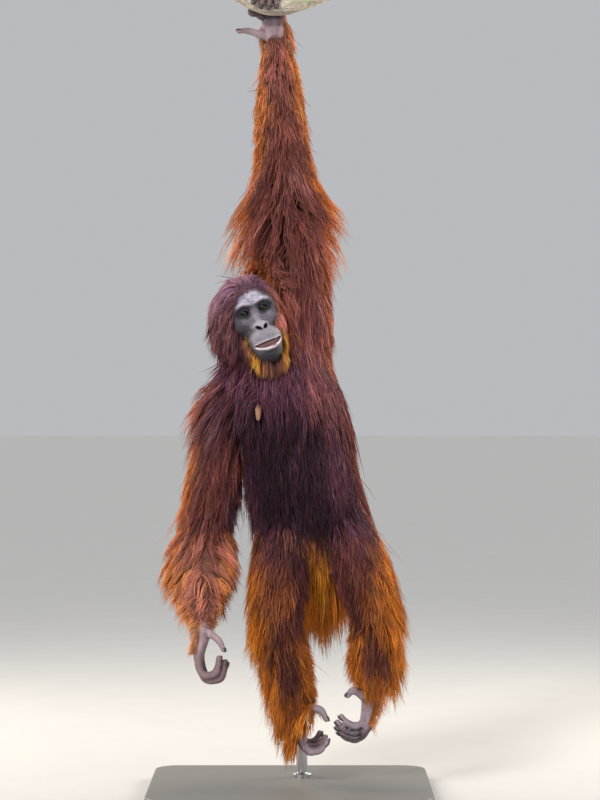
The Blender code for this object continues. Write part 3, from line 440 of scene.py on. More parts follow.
class Way:
    """A limb's or digit's path: its sections sampled evenly, with the way along, across and to the front."""

    def __init__(self, stations: Sequence[Sequence[float]], start: float = 0.0, end: Optional[float] = None,
                 samples: int = 4, knots: float = 0.0) -> None:
        """Samples the path.

        Args:
            stations: its sections.
            start: the station that it begins at.
            end: the station that it ends at, or the last one.
            samples: rings for each stretch between two stations.
            knots: how much thicker it is at its stations, as a share.
        """
        table = np.array(stations, float)
        end = len(table) - 1 if end is None else end
        self.table = table
        self.u = np.linspace(start, end, max(2, int(round((end - start) * samples)) + 1))
        rows = self.spline(self.u)
        self.middle, self.size = rows[:, :3], rows[:, 3:5] * (1 + knots * np.cos(2 * np.pi * self.u))[:, None]
        self.along = unit(self.spline(self.u + 0.03)[:, :3] - self.spline(self.u - 0.03)[:, :3])
        front = np.array((0.0, -1.0, 0.0)) - self.along * -self.along[:, 1:2]
        front[np.linalg.norm(front, axis=1) < 0.05] = (0.0, 0.0, 1.0)
        self.front = unit(front)
        self.across = np.cross(self.along, self.front)

    def spline(self, u: Array) -> Array:
        """The sections at u, where whole numbers are the stations.

        Args:
            u: stations, with fractions.

        Returns:
            Sections, one row for each.
        """
        last = len(self.table) - 1
        u = np.clip(u, 0, last)
        i = np.clip(u.astype(int), 0, last - 1)
        t = (u - i)[:, None]
        a, b, c, d = (self.table[np.clip(i + k, 0, last)] for k in (-1, 0, 1, 2))
        return 0.5 * (2 * b + (c - a) * t + (2 * a - 5 * b + 4 * c - d) * t * t
                      + (3 * b - a - 3 * c + d) * t ** 3)

    def box(self) -> tuple[Array, Array]:
        """The lowest and highest corner of its box."""
        reach = self.size.max(1)[:, None]
        return (self.middle - reach).min(0), (self.middle + reach).max(0)

    def locate(self, points: Array) -> tuple[Array, Array, Array]:
        """Where points lie along it.

        Args:
            points: places.

        Returns:
            For each place how far outside the limb it lies, its station u, and its ring as a fraction.
        """
        best = np.full(points.shape[:-1], 1e9)
        ring = np.zeros(points.shape[:-1])
        for k in range(len(self.u) - 1):
            a, b = self.middle[k], self.middle[k + 1]
            t = np.clip((points - a) @ (b - a) / ((b - a) @ (b - a)), 0, 1)
            offset = points - a - t[..., None] * (b - a)
            size = self.size[k] + (self.size[k + 1] - self.size[k]) * t[..., None]
            parts = np.stack([offset @ self.across[k], offset @ self.front[k], offset @ self.along[k]], -1)
            size = np.concatenate([size, size.mean(-1, keepdims=True)], -1)
            share = np.sqrt(((parts / size) ** 2).sum(-1))
            slope = np.sqrt(((parts / size ** 2) ** 2).sum(-1)) + 1e-9
            reach = share * (share - 1) / slope
            closer = reach < best
            best = np.where(closer, reach, best)
            ring = np.where(closer, k + t, ring)
        return best, np.interp(ring, np.arange(len(self.u)), self.u), ring

    def distance(self, points: Array) -> Array:
        """How far outside it each point lies, near enough."""
        return self.locate(points)[0]

    def at(self, rows: Array, ring: Array) -> Array:
        """One of its rows of vectors at ring fractions."""
        return np.stack([np.interp(ring, np.arange(len(rows)), rows[:, k]) for k in range(rows.shape[1])], -1)


class Field:
    """A distance field on a grid whose steps may differ, and the closed surface where it is zero."""

    def __init__(self, *axes: Array) -> None:
        """Takes the grid's places along x, y and z."""
        self.axes = axes
        self.value = np.full(tuple(len(a) for a in axes), 1.0)

    def window(self, form: Any, margin: float) -> tuple[tuple, Array]:
        """The part of the grid round a form, and its points.

        Args:
            form: anything with a box.
            margin: how far past its box to reach.

        Returns:
            The slices of the grid, and the places of its points.
        """
        low, high = form.box()
        cut = []
        for axis, a, b in zip(self.axes, low - margin, high + margin):
            first = max(int(np.searchsorted(axis, a)) - 2, 0)
            cut.append(slice(first, int(np.searchsorted(axis, b)) + 2))
        return tuple(cut), np.stack(np.meshgrid(*(x[c] for x, c in zip(self.axes, cut)), indexing="ij"), -1)

    def join(self, form: Any, soft: float = 0.004) -> None:
        """Adds a form, rounded where it meets the rest."""
        cut, points = self.window(form, soft)
        self.value[cut] = blend(self.value[cut], form.distance(points), soft)

    def cut(self, form: Any, soft: float = 0.002) -> None:
        """Takes a form out, rounded at its edge."""
        cut, points = self.window(form, soft)
        self.value[cut] = -blend(-self.value[cut], form.distance(points), soft)

    def nets(self) -> tuple[Array, Array, Array]:
        """The surface's corners in cells of the grid, its faces, and each corner's cell.

        Returns:
            Corners in fractions of cells, faces of four corners, and the corners' cells.
        """
        value, shape = self.value, np.array(self.value.shape)
        keys, places, rings = [], [], []
        for axis in range(3):
            one, two = [a for a in range(3) if a != axis]
            before, after = [slice(None)] * 3, [slice(None)] * 3
            before[axis], after[axis] = slice(0, -1), slice(1, None)
            crossed = np.argwhere((value[tuple(before)] < 0) != (value[tuple(after)] < 0))
            inner = (crossed[:, [one, two]] > 0) & (crossed[:, [one, two]] < shape[[one, two]] - 1)
            crossed = crossed[inner.all(1)]
            onward = crossed.copy()
            onward[:, axis] += 1
            a, b = value[tuple(crossed.T)], value[tuple(onward.T)]
            place = crossed.astype(float)
            place[:, axis] += a / (a - b)
            ring = []
            for back_one, back_two in ((0, 0), (1, 0), (1, 1), (0, 1)):
                cell = crossed.copy()
                cell[:, one] -= back_one
                cell[:, two] -= back_two
                ring.append(np.ravel_multi_index(cell.T, shape))
                places.append(place)
            keys += ring
            quads = np.stack(ring, 1)
            turned = (a < 0) == (axis == 1)
            quads[turned] = quads[turned][:, ::-1]
            rings.append(quads)
        cells, index = np.unique(np.concatenate(keys), return_inverse=True)
        places, hits = np.concatenate(places), np.bincount(index)
        corners = np.stack([np.bincount(index, places[:, k]) / hits for k in range(3)], 1)
        return corners, np.searchsorted(cells, np.concatenate(rings)), np.stack(
            np.unravel_index(cells, shape), 1)

    def surface(self, name: str) -> bpy.types.Object:
        """The closed surface as a mesh; cells where it would touch itself are filled first.

        Args:
            name: the object's name.

        Returns:
            The object.
        """
        for _ in range(6):
            corners, faces, cells = self.nets()
            ends = np.sort(np.stack([faces, np.roll(faces, -1, 1)], -1).reshape(-1, 2), 1)
            edges, uses = np.unique(ends[:, 0] * len(corners) + ends[:, 1], return_counts=True)
            bad = edges[uses != 2]
            if not len(bad):
                break
            for cell in cells[np.unique(np.concatenate([bad // len(corners), bad % len(corners)]))]:
                block = tuple(slice(c, c + 2) for c in cell)
                self.value[block] = np.minimum(self.value[block], -1e-4)
        corners = np.stack([np.interp(corners[:, k], np.arange(len(a)), a)
                            for k, a in enumerate(self.axes)], 1)
        return new_mesh(name, corners, faces)


def even(low: float, high: float, size: float) -> Array:
    """Places from low to high, one step apart."""
    return np.arange(low, high + size, size)


def uneven(*stretches: tuple[float, float, float]) -> Array:
    """Places along stretches given as start, end and step, each starting where the last one ends."""
    return np.unique(np.round(np.concatenate([np.arange(a, b, s) for a, b, s in stretches]), 6))


# ---------------------------------------------------------------- the body's form

@dataclass
class HeadForm:
    """The head in its own frame: a blended field with lids, folds, lips, open mouth, nostrils and ears."""

    lid: float = 0.0026
    opening: tuple[float, float] = (0.0112, 0.0068)  # half width and half height between the lids
    lip: float = 0.0038
    depth: float = 0.006                             # how far the skull's sides lie inside the solids
    fine: float = 0.0017                             # the grid's step over the face

    # Lines on the face, as x and z.
    CHEEK_FOLD = ((0.017, -0.034), (0.026, -0.044), (0.034, -0.058), (0.041, -0.074))
    FROWN = ((0.0035, 0.020), (0.0045, 0.026), (0.004, 0.032))
    CHIN_GROOVE = ((-0.014, -0.1105), (0.0, -0.1125), (0.014, -0.1105))
    FOREHEAD_CREASES = (0.0290, 0.0345, 0.0400, 0.0455)

    def frame(self) -> Array:
        """The head's frame as a matrix."""
        roll, turn = Matrix.Rotation(-HEAD_ROLL, 4, "Y"), Matrix.Rotation(HEAD_TURN, 4, "Z")
        return np.array(Matrix.Translation(EYE_LINE) @ roll @ turn)

    def local(self, points: Array) -> Array:
        """World places in the head's frame."""
        inverse = np.linalg.inv(self.frame())
        return points @ inverse[:3, :3].T + inverse[:3, 3]

    def world(self, points: Array) -> Array:
        """Places of the head's frame in the world."""
        frame = self.frame()
        return points @ frame[:3, :3].T + frame[:3, 3]

    def eye_middle(self, side: int) -> Array:
        """The middle of an eye."""
        return np.array((side * EYE_ASIDE, EYE_DEPTH, 0.0))

    def plain(self, target: Field) -> None:
        """The forms that the solids share.

        Args:
            target: the head's field, which is changed.
        """
        for k, (middle, radii, tip, soft) in enumerate(HEAD_FORMS):
            radii = (radii[0] - (self.depth if k == 0 else 0), *radii[1:])
            for side in ((1, -1) if middle[0] else (1,)):
                target.join(Ball((side * middle[0], *middle[1:]), radii, tip), soft)
        for side in (-1, 1):
            target.cut(Ball((side * EYE_ASIDE, -0.010, 0.003), (0.0175, 0.012, 0.0135)), 0.006)
            target.join(String([(side * x, y, z) for x, y, z in BROW], 0.0072), 0.008)
        target.join(String(BRIDGE, 0.0058), 0.008)

    def front_of(self, target: Field, x: float, z: float) -> float:
        """How far forward the field reaches at x and z.

        Args:
            target: the head's field.
            x: how far aside.
            z: how high.

        Returns:
            The place's y in the head's frame.
        """
        i, k = (int(np.argmin(abs(axis - at))) for axis, at in ((target.axes[0], x), (target.axes[2], z)))
        line = target.value[i, :, k]
        j = int(np.argmax(line < 0))
        share = line[j - 1] / (line[j - 1] - line[j])
        return float(target.axes[1][j - 1] + (target.axes[1][j] - target.axes[1][j - 1]) * share)

    def draped(self, target: Field, line: Sequence[tuple[float, float]], sink: float,
               radius: Any, side: int = 1) -> String:
        """A string along the face through places given by x and z, its middle sunk behind the surface."""
        return String([(side * x, self.front_of(target, side * x, z) + sink, z) for x, z in line], radius)

    def folds(self, target: Field) -> None:
        """Brow creases, pouches under the eyes, cheek folds and the grooves of the muzzle.

        Args:
            target: the head's field, which is changed.
        """
        for side in (-1, 1):
            for rise, reach, rad in ((-0.0135, 0.018, 0.0018), (-0.0190, 0.023, 0.0022)):
                arc = [(EYE_ASIDE + reach * math.cos(a), rise - 0.55 * reach * (math.sin(a) - 0.35))
                       for a in np.linspace(0.15, 2.95, 9)]
                target.join(self.draped(target, arc, 0.0010, np.interp(
                    np.linspace(0, 1, 9), (0, 0.5, 1), (0.0006, rad, 0.0006)), side), 0.0034)
            for rise in (0.0085, 0.0125):
                arc = [(EYE_ASIDE + 0.016 * math.cos(a), rise + 0.004 * math.sin(a))
                       for a in np.linspace(0.2, 2.9, 8)]
                target.join(self.draped(target, arc, 0.0012, 0.0016, side), 0.0016)
            target.cut(self.draped(target, self.CHEEK_FOLD, -0.0006, 0.0014, side), 0.004)
            target.cut(self.draped(target, self.FROWN, -0.0004, 0.0010, side), 0.0025)
        target.cut(self.draped(target, self.CHIN_GROOVE, -0.0010, 0.0016), 0.006)
        for rise in self.FOREHEAD_CREASES:
            line = [(x, rise + 0.0016 * math.sin(x * 260 + rise * 900))
                    for x in np.linspace(-0.026, 0.024, 9)]
            target.cut(self.draped(target, line, -0.0004, 0.0010), 0.0030)

    def eyes(self, target: Field) -> None:
        """The lids: a shell over each eye with an almond opening, and the ball's own room.

        Args:
            target: the head's field, which is changed.
        """
        for side in (-1, 1):
            middle = self.eye_middle(side)
            target.join(Ball(middle, (EYE_RADIUS + self.lid,) * 3), 0.003)
            rim = [(x, self.opening[1] * (1 - (x / self.opening[0]) ** 2) ** 0.75)
                   for x in np.linspace(-self.opening[0], self.opening[0], 11)]
            for up in (1, -1):
                places = [(middle[0] + x * 1.05, z * up * 1.06 + side * x * 0.10) for x, z in rim]
                reach = EYE_RADIUS + self.lid
                joints = [(x, middle[1] - math.sqrt(max(reach ** 2 - (x - middle[0]) ** 2 - z ** 2, 1e-6))
                           + 0.0004, z) for x, z in places]
                target.join(String(joints, 0.0015), 0.0012)
            target.cut(Almond(middle, self.opening, side * 0.10), 0.0008)
            target.cut(Ball(middle, (EYE_RADIUS,) * 3), 0.0002)

    def mouth(self, target: Field) -> None:
        """The lips along the open mouth, the slot between them and the hollow behind.

        Args:
            target: the head's field, which is changed.
        """
        rows = np.array(MOUTH)
        xs = np.linspace(rows[0, 0], rows[-1, 0], 15)
        top, low = np.interp(xs, rows[:, 0], rows[:, 1]), np.interp(xs, rows[:, 0], rows[:, 2])
        for edge, rise in ((top, 0.6), (low, -0.6)):
            line = list(zip(xs, edge + rise * self.lip))
            target.join(self.draped(target, line, self.lip * 0.42, np.interp(
                np.linspace(-1, 1, 15), (-1, -0.6, 0.6, 1), (0.55, 1, 1, 0.55)) * self.lip), 0.003)
        target.cut(Slot(xs, top, low, -0.080, -0.028), 0.0012)

    def nostrils(self, target: Field) -> None:
        """Two slanting slits under the flat nose.

        Args:
            target: the head's field, which is changed.
        """
        for side in (-1, 1):
            middle = (side * NOSTRIL_PLACE[0], *NOSTRIL_PLACE[1:])
            target.cut(Turned(middle, (0.0100, 0.0105, 0.0040), side * NOSTRIL_TURN), 0.0012)
            target.join(String([(side * 0.0022, -0.0238, -0.0368), (side * 0.0110, -0.0238, -0.0368),
                                (side * 0.0175, -0.0200, -0.0420)], 0.0021), 0.0030)

    def ears(self, target: Field) -> None:
        """Small round cupped ears.

        Args:
            target: the head's field, which is changed.
        """
        for side in (-1, 1):
            turn = side * -0.45
            shell = Turned((side * 0.080, 0.074, -0.006), (0.0085, 0.0150, 0.0200), turn, 1)
            target.join(shell, 0.004)
            cup = np.array((side * 0.0075, -0.001, 0.001))
            c, s = math.cos(turn), math.sin(turn)
            middle = np.array(shell.middle) + (cup[0] * c - cup[1] * s, cup[0] * s + cup[1] * c, cup[2])
            target.cut(Turned(middle, (0.0070, 0.0100, 0.0145), turn, 1), 0.003)

    def build(self) -> bpy.types.Object:
        """The head as a closed mesh in the world.

        Returns:
            The head.
        """
        fine = self.fine
        target = Field(uneven((-0.100, -0.064, 0.0042), (-0.064, -0.050, 0.0024), (-0.050, 0.052, fine),
                              (0.052, 0.064, 0.0024), (0.064, 0.104, 0.0042)),
                       uneven((-0.084, 0.026, fine), (0.026, 0.060, 0.0026), (0.060, 0.104, 0.0040),
                              (0.104, 0.176, 0.0060)),
                       uneven((-0.152, -0.132, 0.0026), (-0.132, 0.046, fine), (0.046, 0.100, 0.0040)))
        self.plain(target)
        self.folds(target)
        self.eyes(target)
        self.nostrils(target)
        self.mouth(target)
        self.ears(target)
        made = target.surface("head")
        made.data.transform(Matrix(self.frame().tolist()))
        return made


@dataclass
class Almond:
    """The opening between the lids: an almond seen from the front, in front of the eye's middle."""

    middle: Array
    half: tuple[float, float]
    slant: float

    def box(self) -> tuple[Array, Array]:
        """The lowest and highest corner of its box."""
        reach = np.array((self.half[0], 0.030, self.half[1]))
        return self.middle - reach, self.middle + reach * (1, 0, 1)

    def distance(self, points: Array) -> Array:
        """How far outside it each point lies, near enough.

        Args:
            points: places.

        Returns:
            One distance for each place.
        """
        offset = points - self.middle
        x, z = offset[..., 0], offset[..., 2] - self.slant * offset[..., 0]
        share = np.clip(np.abs(x) / self.half[0], 0, 1)
        edge = self.half[1] * (1 - share ** 2) ** 0.8
        flat = np.maximum(np.abs(z) - edge, np.abs(x) - self.half[0])
        return np.maximum(flat * 0.85, offset[..., 1] + 0.004)


@dataclass
class Slot:
    """The room between the lips, back into the mouth."""

    xs: Array
    top: Array
    low: Array
    front: float
    back: float

    def box(self) -> tuple[Array, Array]:
        """The lowest and highest corner of its box."""
        return (np.array((self.xs[0], self.front, self.low.min())),
                np.array((self.xs[-1], self.back, self.top.max())))

    def distance(self, points: Array) -> Array:
        """How far outside it each point lies, near enough.

        Args:
            points: places.

        Returns:
            One distance for each place.
        """
        x, y, z = np.moveaxis(points, -1, 0)
        top, low = np.interp(x, self.xs, self.top), np.interp(x, self.xs, self.low)
        ends = np.maximum(self.xs[0] - x, x - self.xs[-1])
        return np.maximum.reduce([z - top, low - z, ends, y - self.back])


@dataclass
class Turned:
    """An ellipsoid turned by an angle, about the way to the back or about the upright."""

    middle: Sequence[float]
    radii: Sequence[float]
    turn: float
    partner: int = 2                 # the axis that x turns towards: 2 is upwards, 1 is backwards

    def box(self) -> tuple[Array, Array]:
        """The lowest and highest corner of its box."""
        return np.array(self.middle) - max(self.radii), np.array(self.middle) + max(self.radii)

    def distance(self, points: Array) -> Array:
        """How far outside it each point lies, near enough.

        Args:
            points: places.

        Returns:
            One distance for each place.
        """
        offset = points - np.array(self.middle)
        c, s = math.cos(self.turn), math.sin(self.turn)
        x, other = offset[..., 0].copy(), offset[..., self.partner].copy()
        offset[..., 0], offset[..., self.partner] = x * c + other * s, other * c - x * s
        return Ball((0, 0, 0), self.radii).distance(offset)


@dataclass
class Extremity:
    """A hand or foot: its palm or sole, four digits side by side, and a thumb or big toe."""

    name: str
    limb: tuple
    span: tuple[int, int]
    palm: tuple[float, float, float]          # the way that its bare side faces
    digits: list = field(default_factory=list)
    thumb: tuple = ()
    thumb_radii: tuple = (0.012, 0.0095, 0.008, 0.0055)
    pads: tuple = ()                          # balls that round its bare side
    creases: tuple = ()                       # strings that line it
    grid: float = 0.0027
    slim: float = 1.0                         # its palm's share of the limb's width

    MARGIN = 0.008                            # room round it on the grid
    CREASE_RADIUS, RING_RADIUS = 0.0009, 0.0008
    RING_SHIFT = 0.0022                       # how far a knuckle's two rings lie from its middle

    def ways(self) -> list[Way]:
        """The digits' paths, the thumb's last.

        Returns:
            Five paths.
        """
        made = [Way([(*p, r, r) for p, r in zip(path, radii)], samples=4, knots=0.10)
                for path, radii in self.digits]
        radii = self.thumb_radii
        made.append(Way([(*p, r, r) for p, r in zip(self.thumb, radii)], samples=4, knots=0.06))
        return made

    def build(self) -> bpy.types.Object:
        """The hand or foot as a closed mesh that ends inside its limb.

        Returns:
            The hand or foot.
        """
        palm = Way(self.limb, self.span[0] - 0.35, self.span[1], 8)
        palm.size[:4] *= np.linspace(0.80, 0.97, 4)[:, None]
        palm.size[2:, 0] *= self.slim
        ways = self.ways()
        low = np.min([w.box()[0] for w in (palm, *ways)], 0) - self.MARGIN
        high = np.max([w.box()[1] for w in (palm, *ways)], 0) + self.MARGIN
        target = Field(*(even(a, b, self.grid) for a, b in zip(low, high)))
        target.join(palm)
        for middle, radii in self.pads:
            target.join(Ball(middle, radii), 0.008)
        for way in ways:
            target.join(way, 0.0035)
        for joints in self.creases:
            target.cut(String(joints, self.CREASE_RADIUS), 0.0025)
        turn = np.linspace(0, 2 * np.pi, 10)[:, None]
        for way in ways[:-1]:
            for k in range(4, len(way.u) - 3, 4):
                for shift in (-self.RING_SHIFT, self.RING_SHIFT):
                    ring = way.middle[k] + way.along[k] * shift + way.size[k, 0] * 1.04 * (
                        way.across[k] * np.cos(turn) + way.front[k] * np.sin(turn))
                    target.cut(String(ring.tolist(), self.RING_RADIUS), 0.0022)
        return target.surface(self.name)


def hooked(limb: tuple, span: tuple[int, int], name: str, palm: tuple, path: tuple, spread: tuple, fan: tuple,
           thumb: tuple, thumb_radii: tuple, pads: tuple = (), creases: tuple = ()) -> Extremity:
    """A hand or foot whose digits hang in a hook, side by side along spread.

    Args:
        limb: the sections of its limb.
        span: the stations between which its palm lies.
        name: its node's name.
        palm: the way that its bare side faces.
        path: the joints of the longest digit.
        spread: the way from one digit to the next.
        fan: how far each digit's tip lies aside of the one before it.
        thumb: the joints of the thumb or big toe.
        thumb_radii: its radius at each.
        pads: balls that round its bare side.
        creases: strings that line it.

    Returns:
        The hand or foot.
    """
    way, root = unit(np.array(spread)), np.array(path[0])
    digits = []
    for i, share in enumerate(FINGER_LENGTHS):
        joints = [root + way * DIGIT_STEP * (i - 1.5) + (np.array(p) - root) * share
                  + np.array(fan) * (i - 1.5) * (k / 4) ** 0.8 for k, p in enumerate(path)]
        digits.append((joints, [DIGIT_RADIUS * k for k in (1.02, 0.92, 0.98, 0.88, 0.68)]))
    return Extremity(name, limb, span, palm, digits, thumb, thumb_radii, pads, creases)


def gripping() -> Extremity:
    """The raised hand: palm to the front, four fingers over the branch and down its front, thumb aside.

    Returns:
        The hand.
    """
    samples, first_station, apart, clear = 20, 2.95, 0.40, 0.0006
    palm_end, branch, digits = np.array(ARM_LEFT[KNUCKLES][:3]), Way(PERCH, samples=samples), []
    for i, share in enumerate(FINGER_LENGTHS):
        k = int(round((first_station + apart * i) * samples))
        along, middle = branch.along[k], branch.middle[k]
        up = np.cross(along, (0.0, -1.0, 0.0))
        up = -up if up[2] < 0 else up
        reach = branch.size[k, 0] + GRIP_RADIUS + clear
        turns = [math.radians(a) for a in (-22, 40, 105, 165, 222, 284 + 60 * (share - 0.93))]
        path = [middle + np.array((0, 1, 0)) * (math.sin(a) * reach) - up * (math.cos(a) * reach)
                for a in turns]
        root = palm_end + along * (DIGIT_STEP * (i - 1.5))
        path[0] = path[1] + (root - path[1]) * 0.55
        digits.append((path, [GRIP_RADIUS * k for k in (1.0, 1.0, 1.0, 0.97, 0.92, 0.68)]))
    thumb = ((-0.050, 0.004, 1.893), (-0.078, -0.004, 1.899), (-0.106, -0.012, 1.906),
             (-0.128, -0.018, 1.904))
    pads = (((-0.051, -0.004, 1.897), (0.014, 0.011, 0.017)),
            ((-0.018, -0.002, 1.905), (0.010, 0.010, 0.022)),
            ((-0.038, -0.006, 1.934), (0.025, 0.008, 0.007)))
    creases = (((-0.066, -0.015, 1.922), (-0.044, -0.014, 1.916), (-0.020, -0.014, 1.921),
                (-0.008, -0.010, 1.926)),
               ((-0.060, -0.018, 1.908), (-0.040, -0.013, 1.906), (-0.022, -0.013, 1.898)),
               ((-0.036, -0.012, 1.884), (-0.038, -0.013, 1.900), (-0.050, -0.016, 1.914)))
    return Extremity("hand_left", ARM_LEFT, (WRIST, KNUCKLES), (0, -1, 0), digits, thumb,
                     (0.013, 0.010, 0.0078, 0.0060), pads, creases, slim=0.86)


def extremities() -> list[Extremity]:
    """Both hands and both feet.

    Returns:
        The two hands, then the two feet.
    """
    return [
        gripping(),
        hooked(ARM_RIGHT, (WRIST, KNUCKLES), "hand_right", (0.82, -0.57, 0),
               ((-0.219, -0.158, 0.378), (-0.217, -0.158, 0.330), (-0.200, -0.160, 0.303),
                (-0.168, -0.160, 0.308), (-0.156, -0.158, 0.344)), (0.04, 1.0, -0.26), (0.006, 0.0, -0.004),
               ((-0.214, -0.176, 0.424), (-0.192, -0.188, 0.418), (-0.171, -0.192, 0.402),
                (-0.160, -0.190, 0.380)), (0.012, 0.0095, 0.008, 0.0058),
               (((-0.207, -0.176, 0.412), (0.010, 0.013, 0.018)),
                ((-0.208, -0.140, 0.402), (0.008, 0.011, 0.022)))),
        hooked(LEG_RIGHT, (ANKLE, TOE_ROOTS), "foot_right", (1, 0, 0),
               ((0.026, -0.028, 0.158), (0.034, -0.028, 0.130), (0.050, -0.030, 0.117),
                (0.074, -0.032, 0.122), (0.090, -0.034, 0.143)), (0.10, 1.0, 0.22), (-0.005, 0.0, 0.002),
               ((0.018, -0.040, 0.202), (0.048, -0.066, 0.224), (0.076, -0.070, 0.218),
                (0.090, -0.068, 0.196)),
               (0.013, 0.011, 0.0095, 0.0068), (((0.026, -0.030, 0.200), (0.011, 0.024, 0.026)),)),
        hooked(LEG_LEFT, (ANKLE, TOE_ROOTS), "foot_left", (-0.85, -0.53, 0),
               ((0.190, -0.034, 0.186), (0.178, -0.040, 0.164), (0.158, -0.046, 0.156),
                (0.134, -0.052, 0.164), (0.116, -0.056, 0.180)), (0.16, 0.68, -0.72), (-0.006, 0.0, -0.003),
               ((0.199, -0.044, 0.236), (0.178, -0.068, 0.256), (0.156, -0.078, 0.268),
                (0.143, -0.078, 0.256)),
               (0.013, 0.011, 0.0095, 0.0068), (((0.193, -0.034, 0.226), (0.011, 0.024, 0.026)),)),
    ]


@dataclass
class BodyForm:
    """Trunk, neck and limbs as one blended field."""

    grid: float = 0.0076
    depth: float = 0.010     # how far the skin lies inside the solids where the coat is long

    NIPPLE = ((-0.076, -0.070, 0.974), (-0.077, -0.112, 0.969), (-0.077, -0.134, 0.960),
              (-0.077, -0.142, 0.946), (-0.077, -0.143, 0.939))
    NIPPLE_RADII = (0.0100, 0.0088, 0.0074, 0.0060, 0.0046)
    NIPPLE_CREASES = (0.956, 0.951, 0.946)

    def build(self) -> bpy.types.Object:
        """The closed mesh, with the bare nipple on the right breast.

        Returns:
            The body without head, hands and feet.
        """
        room = ((-0.31, 0.30), (-0.24, 0.19), (0.19, 1.92))
        target = Field(*(even(low, high, self.grid) for low, high in room))
        trunk = Way(TRUNK, samples=3)
        trunk.size -= self.depth
        target.join(trunk)
        target.join(Ball(CHEST[0], [r - self.depth * 0.6 for r in CHEST[1]]), 0.03)
        target.join(Way(NECK, samples=3), 0.03)
        for limb, end, soft in ((ARM_LEFT, WRIST, 0.04), (ARM_RIGHT, WRIST, 0.03),
                                (LEG_RIGHT, ANKLE, 0.03), (LEG_LEFT, ANKLE, 0.03)):
            way = Way(limb, 0, end + 0.15, 3)
            way.size -= (self.depth * (1 - step(way.u, end - 2.5, end - 0.6)))[:, None]
            target.join(way, soft)
        return target.surface("body")

    def nipple(self) -> bpy.types.Object:
        """The one nipple that the coat leaves bare.

        Returns:
            A closed mesh that reaches into the breast.
        """
        form = String(self.NIPPLE, self.NIPPLE_RADII)
        low, high = form.box()
        target = Field(*(even(a - 0.004, b + 0.004, 0.0014) for a, b in zip(low, high)))
        target.join(form)
        for z in self.NIPPLE_CREASES:
            line = [(-0.086, -0.150, z), (-0.077, -0.1525, z - 0.002), (-0.068, -0.150, z)]
            target.cut(String(line, 0.0008), 0.0015)
        return target.surface("nipple")


# ---------------------------------------------------------------- markings and coat

HEAD = HeadForm()
NIPPLE_ROOT = (-0.077, -0.130, 0.958)


class Region(Enum):
    """The parts of the body that the coat's growths are keyed by."""

    TRUNK = 0
    ARM_LEFT = 1
    ARM_RIGHT = 2
    LEG_LEFT = 3
    LEG_RIGHT = 4
    HEAD = 5


PATHS = {Region.TRUNK: TRUNK, Region.ARM_LEFT: ARM_LEFT, Region.ARM_RIGHT: ARM_RIGHT,
         Region.LEG_LEFT: LEG_LEFT, Region.LEG_RIGHT: LEG_RIGHT}
LIMB_REGION = {"hand_left": Region.ARM_LEFT, "hand_right": Region.ARM_RIGHT,
               "foot_left": Region.LEG_LEFT, "foot_right": Region.LEG_RIGHT}
INWARD = {Region.LEG_LEFT: -1.0, Region.LEG_RIGHT: 1.0, Region.ARM_RIGHT: 0.5}  # x towards the middle
MOST_STATIONS = 9
FACE_ASIDE, FACE_HALF_WIDTH = 0.005, 0.054
DOWN = np.array((0.0, 0.0, -1.0))
NOWHERE = 9.0                        # a rim share well off the face


